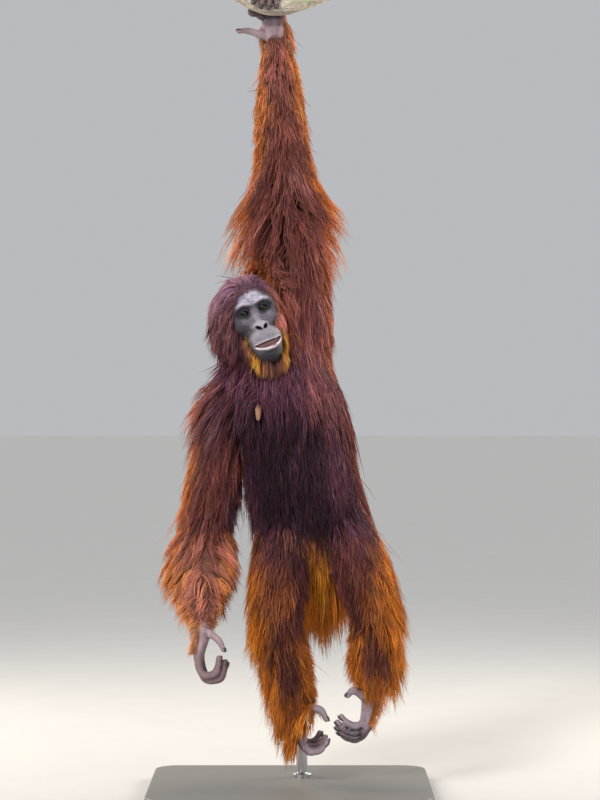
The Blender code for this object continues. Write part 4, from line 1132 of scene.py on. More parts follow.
@dataclass
class Site:
    """What is known of places on the skin: their region, station and turn round it, and the head's frame."""

    points: Array
    normals: Array

    def __post_init__(self) -> None:
        """Finds each place's region and station."""
        self.ways = {region: Way(stations) for region, stations in PATHS.items()}
        found = {region: way.locate(self.points) for region, way in self.ways.items()}
        self.local = HEAD.local(self.points)
        skull = np.minimum(Ball((0, 0.052, 0.006), (0.074, 0.100, 0.078)).distance(self.local),
                           Ball((0, 0.014, -0.075), (0.058, 0.078, 0.064)).distance(self.local))
        far = np.stack([found[r][0] for r in self.ways] + [skull], -1)
        self.region = far.argmin(-1)
        self.u = np.zeros(len(self.points))
        self.along, self.middle = (np.zeros_like(self.points) for _ in range(2))
        for region, way in self.ways.items():
            here = self.region == region.value
            _, station, ring = (rows[here] for rows in found[region])
            self.u[here] = station
            self.along[here] = unit(way.at(way.along, ring))
            self.middle[here] = way.at(way.middle, ring)
        head = self.region == Region.HEAD.value
        self.along[head] = HEAD.frame()[:3, 2]
        self.middle[head] = HEAD.world(np.array((0, 0.055, 0.0)))

    def turn(self) -> Array:
        """Each place's bearing round its region, from 0 to 1.

        Returns:
            One bearing for each place.
        """
        offset = self.points - self.middle
        across = unit(np.cross(self.along, (0.0, -1.0, 0.0)))
        front = np.cross(across, self.along)
        head = self.region == Region.HEAD.value
        angle = np.arctan2(dot(offset, front), dot(offset, across))
        angle[head] = np.arctan2(-self.local[head, 1] + 0.055, self.local[head, 0])
        return angle / (2 * np.pi) % 1.0

    def station(self) -> Array:
        """Each place's way along its region, from 0 to 1.

        Returns:
            One share for each place.
        """
        share = self.u / MOST_STATIONS
        head = self.region == Region.HEAD.value
        share[head] = np.clip((self.local[head, 2] + 0.15) / 0.26, 0, 1)
        return share

    def rim(self) -> Array:
        """How far from the bare face's middle each place of the head lies, where 1 is the face's edge.

        Returns:
            One share for each place.
        """
        x, y, z = self.local.T
        upper = np.hypot((x - FACE_ASIDE) / FACE_HALF_WIDTH, z / np.where(z > 0, 0.052, 0.057))
        lower = np.hypot(x / 0.043, (z + 0.080) / 0.057)
        ragged = 0.07 * lattice_noise(self.local, 0.016, 3) + 0.05 * lattice_noise(self.local, 0.005, 4)
        cheek = np.hypot((x + 0.031) / 0.026, (z + 0.026) / 0.029)
        inside = np.minimum.reduce([upper, lower, cheek]) + ragged
        inside = np.where(y > 0.055, NOWHERE, inside + step(y, 0.035, 0.055) * 0.5)
        return np.where(self.region == Region.HEAD.value, inside, NOWHERE)

    def bare(self) -> Array:
        """1 where the skin shows: face, palms, soles, digits and the nipple.

        Returns:
            One share for each place.
        """
        high = step(self.local[:, 2], 0.015, 0.035)
        naked = 1 - step(self.rim(), 0.93 - 0.20 * high, 1.09 + 0.06 * high)
        for limb in extremities():
            here = self.region == LIMB_REGION[limb.name].value
            first, last = limb.span
            facing = self.normals @ np.array(limb.palm)
            ragged = 0.30 * lattice_noise(self.points, 0.012, 10)
            palm = step(facing, 0.0, 0.35) * step(self.u + ragged, first + 0.05, first + 0.65)
            if limb.name == "hand_left":
                palm = palm * (1 - step(self.points[:, 0] + 0.2 * ragged * 0.03, -0.020, -0.013))
            tips = step(self.u + 0.8 * ragged, last - 0.30, last - 0.02)
            naked = np.where(here, np.maximum.reduce([naked, palm, tips]), naked)
            thumb_start = 1.2 if limb.name == "foot_right" else 0.6
            for way, first in zip(limb.ways(), (0.5, 0.5, 0.5, 0.5, thumb_start)):
                far, along, _ = way.locate(self.points)
                digit = (1 - step(far, 0.002, 0.005)) * step(along, first, first + 0.4)
                naked = np.where(here, np.maximum(naked, digit), naked)
        bud = np.linalg.norm(self.points - np.array(NIPPLE_ROOT), axis=1)
        naked = np.maximum(naked, 1 - step(bud, 0.010, 0.016))
        nub = np.hypot(self.points[:, 0] + 0.077, (self.points[:, 2] - 0.950) / 1.6) < 0.015
        nub &= self.points[:, 1] < -0.095
        return np.where(nub, 1.0, naked)


@dataclass
class Plot:
    """Places of one region of the coat, as the colours need them."""

    region: Region
    points: Array
    normals: Array
    local: Array                     # the same places in the head's frame
    u: Array
    rim: Array
    patch: Array                     # how far the borders between two tones wander


class Markings:
    """The animal's colours, by place: shared by skin and coat."""

    # Arm and forearm edge tones are bright as painted rim glow; their front tones are darkened as painted
    # shade, and the forearm's front tone also tints the raised hand's palm.
    ARM_EDGE, ARM_FRONT = colour(222, 126, 54), colour(128, 68, 62)
    FORE_EDGE, FORE_FRONT = colour(228, 142, 76), colour(170, 104, 90)
    # The pale streak tone is a painted sheen on the raised arm's front.
    WRIST_HAIR, STREAK = colour(226, 150, 90), colour(190, 126, 120)
    # Leg edge tones are bright as painted rim glow; leg front tones are darkened as painted shade.
    LEG_EDGE, LEG_FRONT = colour(222, 128, 32), colour(104, 52, 46)
    # The chest tone is partly the breast's own dark and partly painted shade.
    RUMP, CHEST = colour(222, 138, 38), colour(52, 22, 42)
    FLANK, BACK = colour(134, 66, 58), colour(176, 90, 44)
    # On the trunk's dark front the mauve tone is a painted sheen.
    MAUVE, THIGH_TOP, VEIL = colour(122, 72, 92), colour(90, 46, 56), colour(150, 88, 88)
    # The crown tone is partly the hair's own mauve and partly painted sheen.
    CROWN, HOOD, BEARD = colour(148, 104, 126), colour(124, 74, 84), colour(240, 168, 70)
    TEMPLE = colour(216, 136, 114)
    # The pale brow tone is a painted highlight.
    FACE, MUZZLE, BROW_PALE = colour(122, 116, 128), colour(186, 178, 192), colour(206, 198, 214)
    # The socket tone is painted shade round the eyes, at the face's edge and in the raised hand's grip, and
    # it also darkens the left foot's lowest toes; the chin tone is the chin's own dark and also painted shade
    # on the face.
    SOCKET, CHIN, LIP = colour(38, 32, 38), colour(48, 45, 54), colour(218, 202, 212)
    PALM, SOLE = colour(158, 136, 143), colour(146, 130, 140)
    DIGIT, NIPPLE = colour(112, 88, 88), colour(160, 116, 92)
    # The nostril tone is painted shade in the nostrils and under the upper lip inside the mouth.
    MOUTH_INSIDE, NOSTRIL = colour(216, 168, 160), colour(7, 5, 6)

    @staticmethod
    def mix(first: Array, second: Array, share: Array) -> Array:
        """Colours between two, by a share at each place."""
        return first + (second - first) * share[:, None]

    def coat(self, site: Site) -> Array:
        """The coat's colour at each place.

        Args:
            site: the places.

        Returns:
            Linear colours, one for each place.
        """
        p, made, rim = site.points, np.zeros_like(site.points), site.rim()
        patch = 0.16 * lattice_noise(p, 0.07, 5) + 0.10 * lattice_noise(p, 0.022, 6)
        parts = {Region.TRUNK: self.trunk, Region.ARM_LEFT: self.arm, Region.ARM_RIGHT: self.arm,
                 Region.LEG_LEFT: self.leg, Region.LEG_RIGHT: self.leg, Region.HEAD: self.head}
        for region, tone in parts.items():
            here = site.region == region.value
            if here.any():
                made[here] = tone(Plot(region, *(rows[here] for rows in (
                    p, site.normals, site.local, site.u, rim, patch))))
        return np.clip(made * (1 + 0.8 * patch)[:, None], 0.002, 1)

    def arm(self, plot: Plot) -> Array:
        """An arm: bright edges as painted rim glow round a front darkened as painted shade, and the raised
        arm's veil and its streaks of painted sheen.

        Args:
            plot: the region's places.

        Returns:
            Linear colours, one for each place.
        """
        n, u, patch = plot.normals, plot.u, plot.patch
        left, right = (plot.region is region for region in (Region.ARM_LEFT, Region.ARM_RIGHT))
        # The sides take the bright tones as painted rim glow, and the front, facing -Y, takes the darker
        # tones as painted shade.
        front = step(-n[:, 1] + patch, 0.42, 0.88)
        narrow = step(-n[:, 1] + patch, 0.55, 0.95)
        front = front + (narrow - front) * (0.6 * step(u, 2.2, 3.4) * left)
        fore = step(u, 3.9, 4.8) if right else step(u, 5.0, 6.6) * 0.6
        edge = self.mix(self.ARM_EDGE, self.FORE_EDGE, fore)
        edge = self.mix(edge, self.BACK, step(n[:, 1], 0.0, 0.7) * 0.55)
        edge = self.mix(edge, self.WRIST_HAIR, step(u, 6.2, 6.8) * right)
        tone = self.mix(edge, self.mix(self.ARM_FRONT, self.FORE_FRONT, fore), front)
        veil = (1 - step(u + patch * 3, 1.4, 3.2)) * step(-n[:, 1], -0.8, 0.0) * 0.62
        tone = self.mix(tone, self.VEIL, veil * left)
        # Pale streaks on the raised arm's front are painted sheen.
        streak = step(lattice_noise(plot.points * (1.0, 1.0, 0.35), 0.016, 15), 0.10, 0.45)
        streak = streak * step(-n[:, 1], 0.2, 0.8)
        streak = streak * step(u, 1.0, 2.6) * (1 - step(u, 5.2, 6.6)) * 0.55
        tone = self.mix(tone, self.STREAK, streak * left)
        top = (1 - step(u, 0.8, 1.8)) * step(-n[:, 1], -0.3, 0.3)
        inner = step(n[:, 0], 0.2, 0.5) * (1 - step(u, 3.0, 3.8))
        return self.mix(tone, self.MAUVE * 0.7, np.maximum(0.8 * top, inner) * right)

    def leg(self, plot: Plot) -> Array:
        """A leg: golden edges, bright as painted rim glow, round a front and inner side darkened as painted
        shade.

        Args:
            plot: the region's places.

        Returns:
            Linear colours, one for each place.
        """
        n, u, patch = plot.normals, plot.u, plot.patch
        # The front and the side facing the other leg are darkened as painted shade.
        dark = step(-n[:, 1] + patch, 0.62, 1.0) * (1 - 0.6 * step(u, 5.3, 6.2))
        inner = step(n[:, 0] * INWARD[plot.region], 0.2, 0.6) * step(-n[:, 1], -0.45, 0.0)
        dark = np.maximum(dark, inner * (1 - 0.85 * step(u, 3.4, 4.8)))
        top = (1 - step(u + patch * 2, 1.2, 2.6)) * step(-n[:, 1], -0.1, 0.5)
        return self.mix(self.mix(self.LEG_EDGE, self.LEG_FRONT, dark), self.THIGH_TOP, top)

    def trunk(self, plot: Plot) -> Array:
        """The trunk: dark in front, partly its own tone and partly painted shade, with a painted mauve sheen,
        duller at the sides, golden at the rump.

        Args:
            plot: the region's places.

        Returns:
            Linear colours, one for each place.
        """
        n, p, patch = plot.normals, plot.points, plot.patch
        side = self.mix(self.BACK, self.FLANK, step(-n[:, 1], -0.4, 0.2))
        inside = step(-n[:, 0], 0.1, 0.5) * step(-n[:, 1], -0.6, -0.1)
        inside = np.maximum(inside, step(p[:, 2], 1.02, 1.08) * step(-n[:, 1], -0.3, 0.1))
        side = self.mix(side, self.MAUVE * 0.75, inside)
        # The dark front is partly the breast's own tone and partly painted shade.
        centre = step(-n[:, 1] + patch, 0.25, 0.75)
        bud = np.linalg.norm(p - np.array(NIPPLE_ROOT), axis=1)
        centre = np.maximum(centre, 1 - step(bud, 0.03, 0.05))
        tone = self.mix(side, self.CHEST, centre)
        # A painted mauve sheen lies over the dark front: on the upper chest, in patches and on the left side.
        sheen = step(p[:, 2] + patch * 0.3, 0.96, 1.12) * 0.75
        sheen = np.maximum(sheen, 0.45 * step(patch, 0.02, 0.14))
        sheen = np.maximum(sheen, 0.6 * step(p[:, 0], 0.03, 0.11) * step(p[:, 2], 0.75, 0.85))
        tone = self.mix(tone, self.MAUVE, sheen * centre)
        joint = step(p[:, 2] + patch * 0.2, 0.99, 1.05) * step(p[:, 0] + patch * 0.1, 0.0, 0.04)
        tone = self.mix(tone, self.VEIL, joint * 0.7 * step(-n[:, 1], -0.5, 0.1))
        return self.mix(tone, self.RUMP, 1 - step(p[:, 2] + patch * 0.1, 0.66, 0.74))

    def head(self, plot: Plot) -> Array:
        """The head: dull hood and crown, the crown partly lightened by painted sheen, a warm temple and the
        golden beard.

        Args:
            plot: the region's places.

        Returns:
            Linear colours, one for each place.
        """
        x, y, z = plot.local.T
        # The crown's lighter mauve is partly the hair's own tone and partly painted sheen.
        tone = self.mix(self.HOOD, self.CROWN, step(z, 0.02, 0.07) * (1 - step(y, 0.05, 0.12)))
        tone = self.mix(tone, self.BACK, step(y, 0.07, 0.13) * 0.7)
        near = plot.rim + 0.16 * (1 - step(x, -0.03, 0.01))
        beard = (1 - step(near, 1.14, 1.40)) * (1 - step(z, -0.052, -0.034))
        beard = beard * (1 - step(-x, 0.034, 0.047))
        under = (1 - step(np.abs(x), 0.016, 0.038)) * (1 - step(z, -0.126, -0.108))
        tone = self.mix(tone, self.BEARD, beard * (1 - 0.85 * under))
        side = step(x, 0.036, 0.058) * (1 - step(y, 0.07, 0.11)) * 0.75 * (1 - beard)
        return self.mix(tone, self.TEMPLE, side)

    def skin(self, site: Site, bare: Array, hollow: Array) -> Array:
        """The skin's colour at each place, with painted shade in creases, painted highlights on ridges and on
        the brow, and painted shade under the coat.

        Args:
            site: the places.
            bare: 1 where the skin shows.
            hollow: how deep each place lies in a crease.

        Returns:
            Linear colours.
        """
        head, trunk = (site.region == region.value for region in (Region.HEAD, Region.TRUNK))
        other = np.where(trunk[:, None], self.NIPPLE, self.hands_and_feet(site))
        tone = np.where(head[:, None], self.mouth(site, self.face(site)), other)
        p, z = site.points, site.local[:, 2]
        mottle = 0.10 * lattice_noise(p, 0.009, 7) + 0.08 * lattice_noise(p, 0.0035, 8)
        # Spots on the brow and forehead; the bright ones are painted highlights.
        mottle = mottle + 0.34 * lattice_noise(p, 0.0062, 12) * head * step(z, 0.016, 0.028)
        # Creases are darkened as painted shade and ridges lightened as painted highlight.
        shade = 1 - 0.62 * np.clip(hollow, 0, 1) + 0.25 * np.clip(-hollow, 0, 1)
        tone = tone * (1 + mottle)[:, None] * shade[:, None]
        # Under the coat the skin takes the coat's tones at 0.45, as painted shade beneath the hair.
        return np.clip(self.mix(self.coat(site) * 0.45, tone, bare), 0.002, 1)

    def face(self, site: Site) -> Array:
        """The face: pale muzzle and nose, brows with painted highlights, painted shade in the sockets,
        towards the face's edge, on the right cheek and at the sides, and the dark chin.

        Args:
            site: the places.

        Returns:
            Linear colours, one for each place.
        """
        x, _, z = site.local.T
        ax = np.abs(x)
        eye = np.hypot((ax - EYE_ASIDE) / 0.021, (z - 0.0045) / np.where(z > 0.0045, 0.0105, 0.0135))
        muzzle = 1 - step(np.hypot(x / 0.040, (z + 0.074) / 0.030), 0.8, 1.15)
        nose = 1 - step(np.hypot(x / 0.024, (z + 0.040) / 0.014), 0.7, 1.2)
        arc = 1 - step(np.abs(np.hypot(ax - 0.025, z * 1.15 - 0.004) - 0.0225), 0.0015, 0.0070)
        arc = arc * step(z, 0.012, 0.020) * (1 - step(ax, 0.036, 0.050))
        brow = 1 - step(np.hypot((x + 0.002) / 0.034, (z - 0.036) / 0.019), 0.5, 1.2)
        edge = np.hypot((x - FACE_ASIDE) / FACE_HALF_WIDTH, z / 0.056)
        cheek = step(-x, 0.022, 0.040) * (1 - step(z, -0.030, -0.012)) * (1 - muzzle)
        bridge = (1 - step(ax, 0.006, 0.014)) * step(z, -0.034, -0.020) * (1 - step(z, 0.0, 0.014))
        tone = np.tile(self.FACE, (len(x), 1))
        for over, share in (
                (self.MUZZLE, muzzle), (self.MUZZLE, nose * 0.8),
                # Painted highlights on the brow arcs and the forehead.
                (self.BROW_PALE, arc * 0.85), (self.BROW_PALE, brow * 0.75),
                # Painted shade round the eyes and towards the face's edge under the hair.
                (self.SOCKET, (1 - step(eye, 0.80, 1.75)) * 0.92),
                (self.SOCKET, step(edge, 0.72, 1.0) * 0.45),
                # The chin's own dark, then painted shade at the face's sides and on the right cheek beside
                # the muzzle.
                (self.CHIN, (1 - step(z, -0.112, -0.100)) * 0.95),
                (self.CHIN, step(ax, 0.030, 0.052) * (1 - step(z, -0.005, 0.015)) * 0.55),
                (self.CHIN, cheek * 0.55), (self.MUZZLE, bridge * 0.35)):
            tone = self.mix(tone, over, share)
        return tone

    def mouth(self, site: Site, tone: Array) -> Array:
        """The face's tones with pale lips, the open mouth's inside with painted shade under the upper lip,
        and the nostrils darkened as painted shade, over them.

        Args:
            site: the places.
            tone: the face's colours.

        Returns:
            Linear colours, one for each place.
        """
        x, y, z = site.local.T
        ax, rows = np.abs(x), np.array(MOUTH)
        top, low = (np.interp(x, rows[:, 0], rows[:, k]) for k in (1, 2))
        width = (1 - step(np.abs(x - 0.001), 0.030, 0.040)) * (y < -0.02)
        lip = (1 - step(np.abs(z - low + 0.0030), 0.0020, 0.0046)) * width
        line = (1 - step(np.abs(z - top - 0.0012), 0.0008, 0.0026)) * width
        inside = (z < top - 0.0004) & (z > low + 0.0004) & (ax < 0.038) & (y < -0.020) & (y > -0.090)
        depth = step(np.abs(site.normals @ HEAD.frame()[:3, 1] * -1), 0.2, 0.9)
        c, s = math.cos(NOSTRIL_TURN), math.sin(NOSTRIL_TURN)
        aside, rise = ax - NOSTRIL_PLACE[0], z - NOSTRIL_PLACE[2]
        nostril = np.hypot((aside * c + rise * s) / 0.0108, (rise * c - aside * s) / 0.0054)
        nostril = (1 - step(nostril, 0.80, 1.05)) * (0.5 + 0.5 * step(y, -0.036, -0.031))
        for over, share in (
                (self.LIP, lip), (self.LIP, line * 0.5),
                (self.MOUTH_INSIDE, inside * np.clip(0.5 + depth, 0, 1)),
                # Painted shade under the upper lip inside the mouth, and in the nostrils.
                (self.NOSTRIL, inside * (1 - step(top - z, 0.0020, 0.0058)) * 0.85),
                (self.NOSTRIL, nostril)):
            tone = self.mix(tone, over, share)
        return tone

    def hands_and_feet(self, site: Site) -> Array:
        """Palms and soles, with darker backs, fingertips and shaded places.

        Args:
            site: the places.

        Returns:
            Linear colours, one for each place.
        """
        n, p = site.normals, site.points
        hands = np.isin(site.region, (Region.ARM_LEFT.value, Region.ARM_RIGHT.value))
        tone = np.where(hands[:, None], self.PALM, self.SOLE)
        for limb in extremities():
            near = site.region == LIMB_REGION[limb.name].value
            back = 1 - step(n @ np.array(limb.palm), -0.7, 0.1)
            tone = self.mix(tone, self.DIGIT, back * near * 0.8)
            if limb.name == "hand_left":
                shadow = step(p[:, 2] + 0.3 * np.abs(p[:, 0] + 0.040), 1.915, 1.945) * near
                shadow = shadow * (p[:, 1] < 0.0) * (p[:, 1] > -0.030)
                tone = self.mix(tone, self.SOCKET, 0.75 * shadow)
                tone = self.mix(tone, self.DIGIT, 0.85 * near * (1 - step(p[:, 1], -0.036, -0.030)))
                tone = self.mix(tone, self.FORE_FRONT, 0.6 * step(p[:, 0], -0.028, -0.012) * near)
            elif limb.name == "hand_right":
                tone = self.mix(tone, self.DIGIT, 0.65 * near * step(0.398 - p[:, 2], 0.0, 0.05))
            elif limb.name == "foot_left":
                toes = step(site.u, limb.span[1] - 0.10, limb.span[1] + 0.1)
                toes = toes * step(0.178 - p[:, 2], 0.0, 0.012)
                tone = self.mix(tone, self.SOCKET, toes * near * 0.8)
        return tone


# How the coat lies at stations of a limb or the trunk: station; shares of along, outwards, down and away from
# the front's middle line in the way that it sets off; length, how far its tips stand off, sag, curl.
LIES = {
    Region.TRUNK: (
        (0.2, -1.0, 0.10, 0.8, 0.0, 0.190, 0.014, 0.6, 0.005),
        (1.5, -1.0, 0.10, 0.4, 0.0, 0.180, 0.018, 0.6, 0.006),
        (2.6, -1.0, 0.12, 0.3, 0.0, 0.165, 0.022, 0.6, 0.006),
        (5.0, -1.0, 0.08, 0.3, 0.0, 0.175, 0.018, 0.7, 0.006),
        (6.8, -1.0, 0.15, 0.5, 0.1, 0.170, 0.022, 0.9, 0.006),
        (7.6, -1.0, 0.35, 0.3, 0.1, 0.140, 0.044, 0.9, 0.005)),
    Region.ARM_LEFT: (
        (0.4, -0.8, 0.05, 0.8, 0.0, 0.110, 0.006, 1.2, 0.004),
        (1.8, -0.8, 0.05, 0.8, 0.0, 0.100, 0.006, 1.2, 0.004),
        (2.4, -0.5, 0.15, 0.6, 0.2, 0.090, 0.014, 1.2, 0.006),
        (3.0, -0.3, 0.35, 0.5, 0.6, 0.120, 0.034, 1.0, 0.009),
        (3.7, -0.2, 0.45, 0.4, 0.9, 0.180, 0.046, 1.0, 0.010),
        (4.3, -0.4, 0.30, 0.2, 0.9, 0.170, 0.034, 0.9, 0.009),
        (4.9, -0.7, 0.20, 0.1, 0.5, 0.130, 0.019, 0.8, 0.008),
        (5.6, -0.9, 0.15, 0.1, 0.3, 0.100, 0.012, 0.6, 0.006),
        (6.4, -1.0, 0.15, 0.0, 0.0, 0.075, 0.009, 0.5, 0.003),
        (8.8, -1.0, 0.15, 0.0, 0.0, 0.036, 0.006, 0.5, 0.002)),
    Region.ARM_RIGHT: (
        (0.6, 1.0, 0.30, 0.0, 0.0, 0.160, 0.036, 0.6, 0.006),
        (1.6, 1.0, 0.15, 0.0, 0.0, 0.180, 0.024, 0.6, 0.006),
        (2.6, 1.0, 0.16, 0.0, 0.1, 0.165, 0.028, 0.6, 0.007),
        (3.8, 1.0, 0.20, 0.0, 0.3, 0.140, 0.028, 0.8, 0.006),
        (4.4, 0.4, 0.20, 0.2, 1.0, 0.125, 0.024, 1.4, 0.004),
        (5.3, 0.0, 0.25, 0.3, 1.1, 0.120, 0.021, 1.8, 0.003),
        (6.2, 0.0, 0.25, 0.3, 1.0, 0.075, 0.013, 1.6, 0.003),
        (6.7, 0.5, 0.25, 0.0, 0.5, 0.034, 0.008, 1.0, 0.002),
        (7.2, 0.8, 0.20, 0.0, 0.0, 0.018, 0.004, 0.6, 0.002),
        (8.7, 1.0, 0.12, 0.0, 0.0, 0.018, 0.004, 0.6, 0.001)),
    Region.LEG_LEFT: (
        (0.8, 1.0, 0.15, 0.0, 0.0, 0.150, 0.020, 0.6, 0.006),
        (3.7, 1.0, 0.20, 0.0, 0.1, 0.135, 0.024, 0.6, 0.006),
        (4.5, 1.0, 0.25, 0.3, 0.2, 0.130, 0.034, 0.6, 0.006),
        (5.3, 1.0, 0.30, 0.8, 0.2, 0.110, 0.040, 0.6, 0.005),
        (5.7, 1.0, 0.20, 0.4, 0.0, 0.045, 0.012, 0.6, 0.003),
        (6.1, 1.0, 0.15, 0.2, 0.0, 0.020, 0.006, 0.6, 0.003),
        (7.9, 1.0, 0.10, 0.3, 0.0, 0.016, 0.004, 0.6, 0.001)),
}
LIES[Region.LEG_RIGHT] = LIES[Region.LEG_LEFT][:2] + (
    (4.5, 1.0, 0.22, 0.0, 0.1, 0.115, 0.022, 0.6, 0.005),
    (5.6, 1.0, 0.20, 0.3, 0.0, 0.090, 0.018, 0.6, 0.004),
    (6.4, 1.0, 0.20, 0.6, 0.0, 0.070, 0.014, 0.6, 0.003),
    (7.9, 1.0, 0.15, 0.8, 0.0, 0.050, 0.010, 0.6, 0.002))


@dataclass(frozen=True)
class Growth:
    """One piece of the coat: the region and the stretch of it that it grows from, and how dense it is."""

    name: str
    region: Region
    span: tuple[float, float]
    tufts: int
    width: float = 0.0042
    rings: int = 4
    face: int = 0                    # 1 grows on the front alone, -1 on the back alone
    size: float = 1.0                # the length's share of what the lie says
    lock: int = 9                    # tufts that follow one guide
    clump: float = 0.62              # how far tufts close up on their guide at its tip


GROWTHS = (
    Growth("fur_crown", Region.HEAD, (0.52, 1.0), 7800, 0.0022),
    Growth("fur_hood", Region.HEAD, (0.24, 0.52), 6400, 0.0024),
    Growth("fur_beard", Region.HEAD, (0.0, 0.24), 3600, 0.0020, lock=5),
    Growth("fur_chest", Region.TRUNK, (2.2, 8.0), 8200, 0.0028, 3, face=1, size=0.80, clump=0.52),
    Growth("fur_back", Region.TRUNK, (2.2, 8.0), 6800, 0.0038, 3, face=-1, size=1.12, clump=0.52),
    Growth("fur_rump", Region.TRUNK, (0.0, 2.2), 5000, 0.0034, 3),
    Growth("fur_upper_arm_left", Region.ARM_LEFT, (0.5, 4.0), 6000, 0.0030, 4),
    Growth("fur_forearm_left", Region.ARM_LEFT, (4.0, 9.0), 7000, 0.0026, 3),
    Growth("fur_upper_arm_right", Region.ARM_RIGHT, (0.5, 4.0), 5400, 0.0030),
    Growth("fur_forearm_right", Region.ARM_RIGHT, (4.0, 9.0), 5200, 0.0026, 5, lock=22, clump=0.84),
    Growth("fur_thigh_left", Region.LEG_LEFT, (0.6, 4.0), 4800, 0.0028, 3, lock=12, clump=0.50),
    Growth("fur_shank_left", Region.LEG_LEFT, (4.0, 8.0), 4200, 0.0025, 3, lock=12, clump=0.50),
    Growth("fur_thigh_right", Region.LEG_RIGHT, (0.6, 4.0), 4800, 0.0028, 3, lock=12, clump=0.50),
    Growth("fur_shank_right", Region.LEG_RIGHT, (4.0, 8.0), 4400, 0.0025, 3, lock=12, clump=0.50),
)


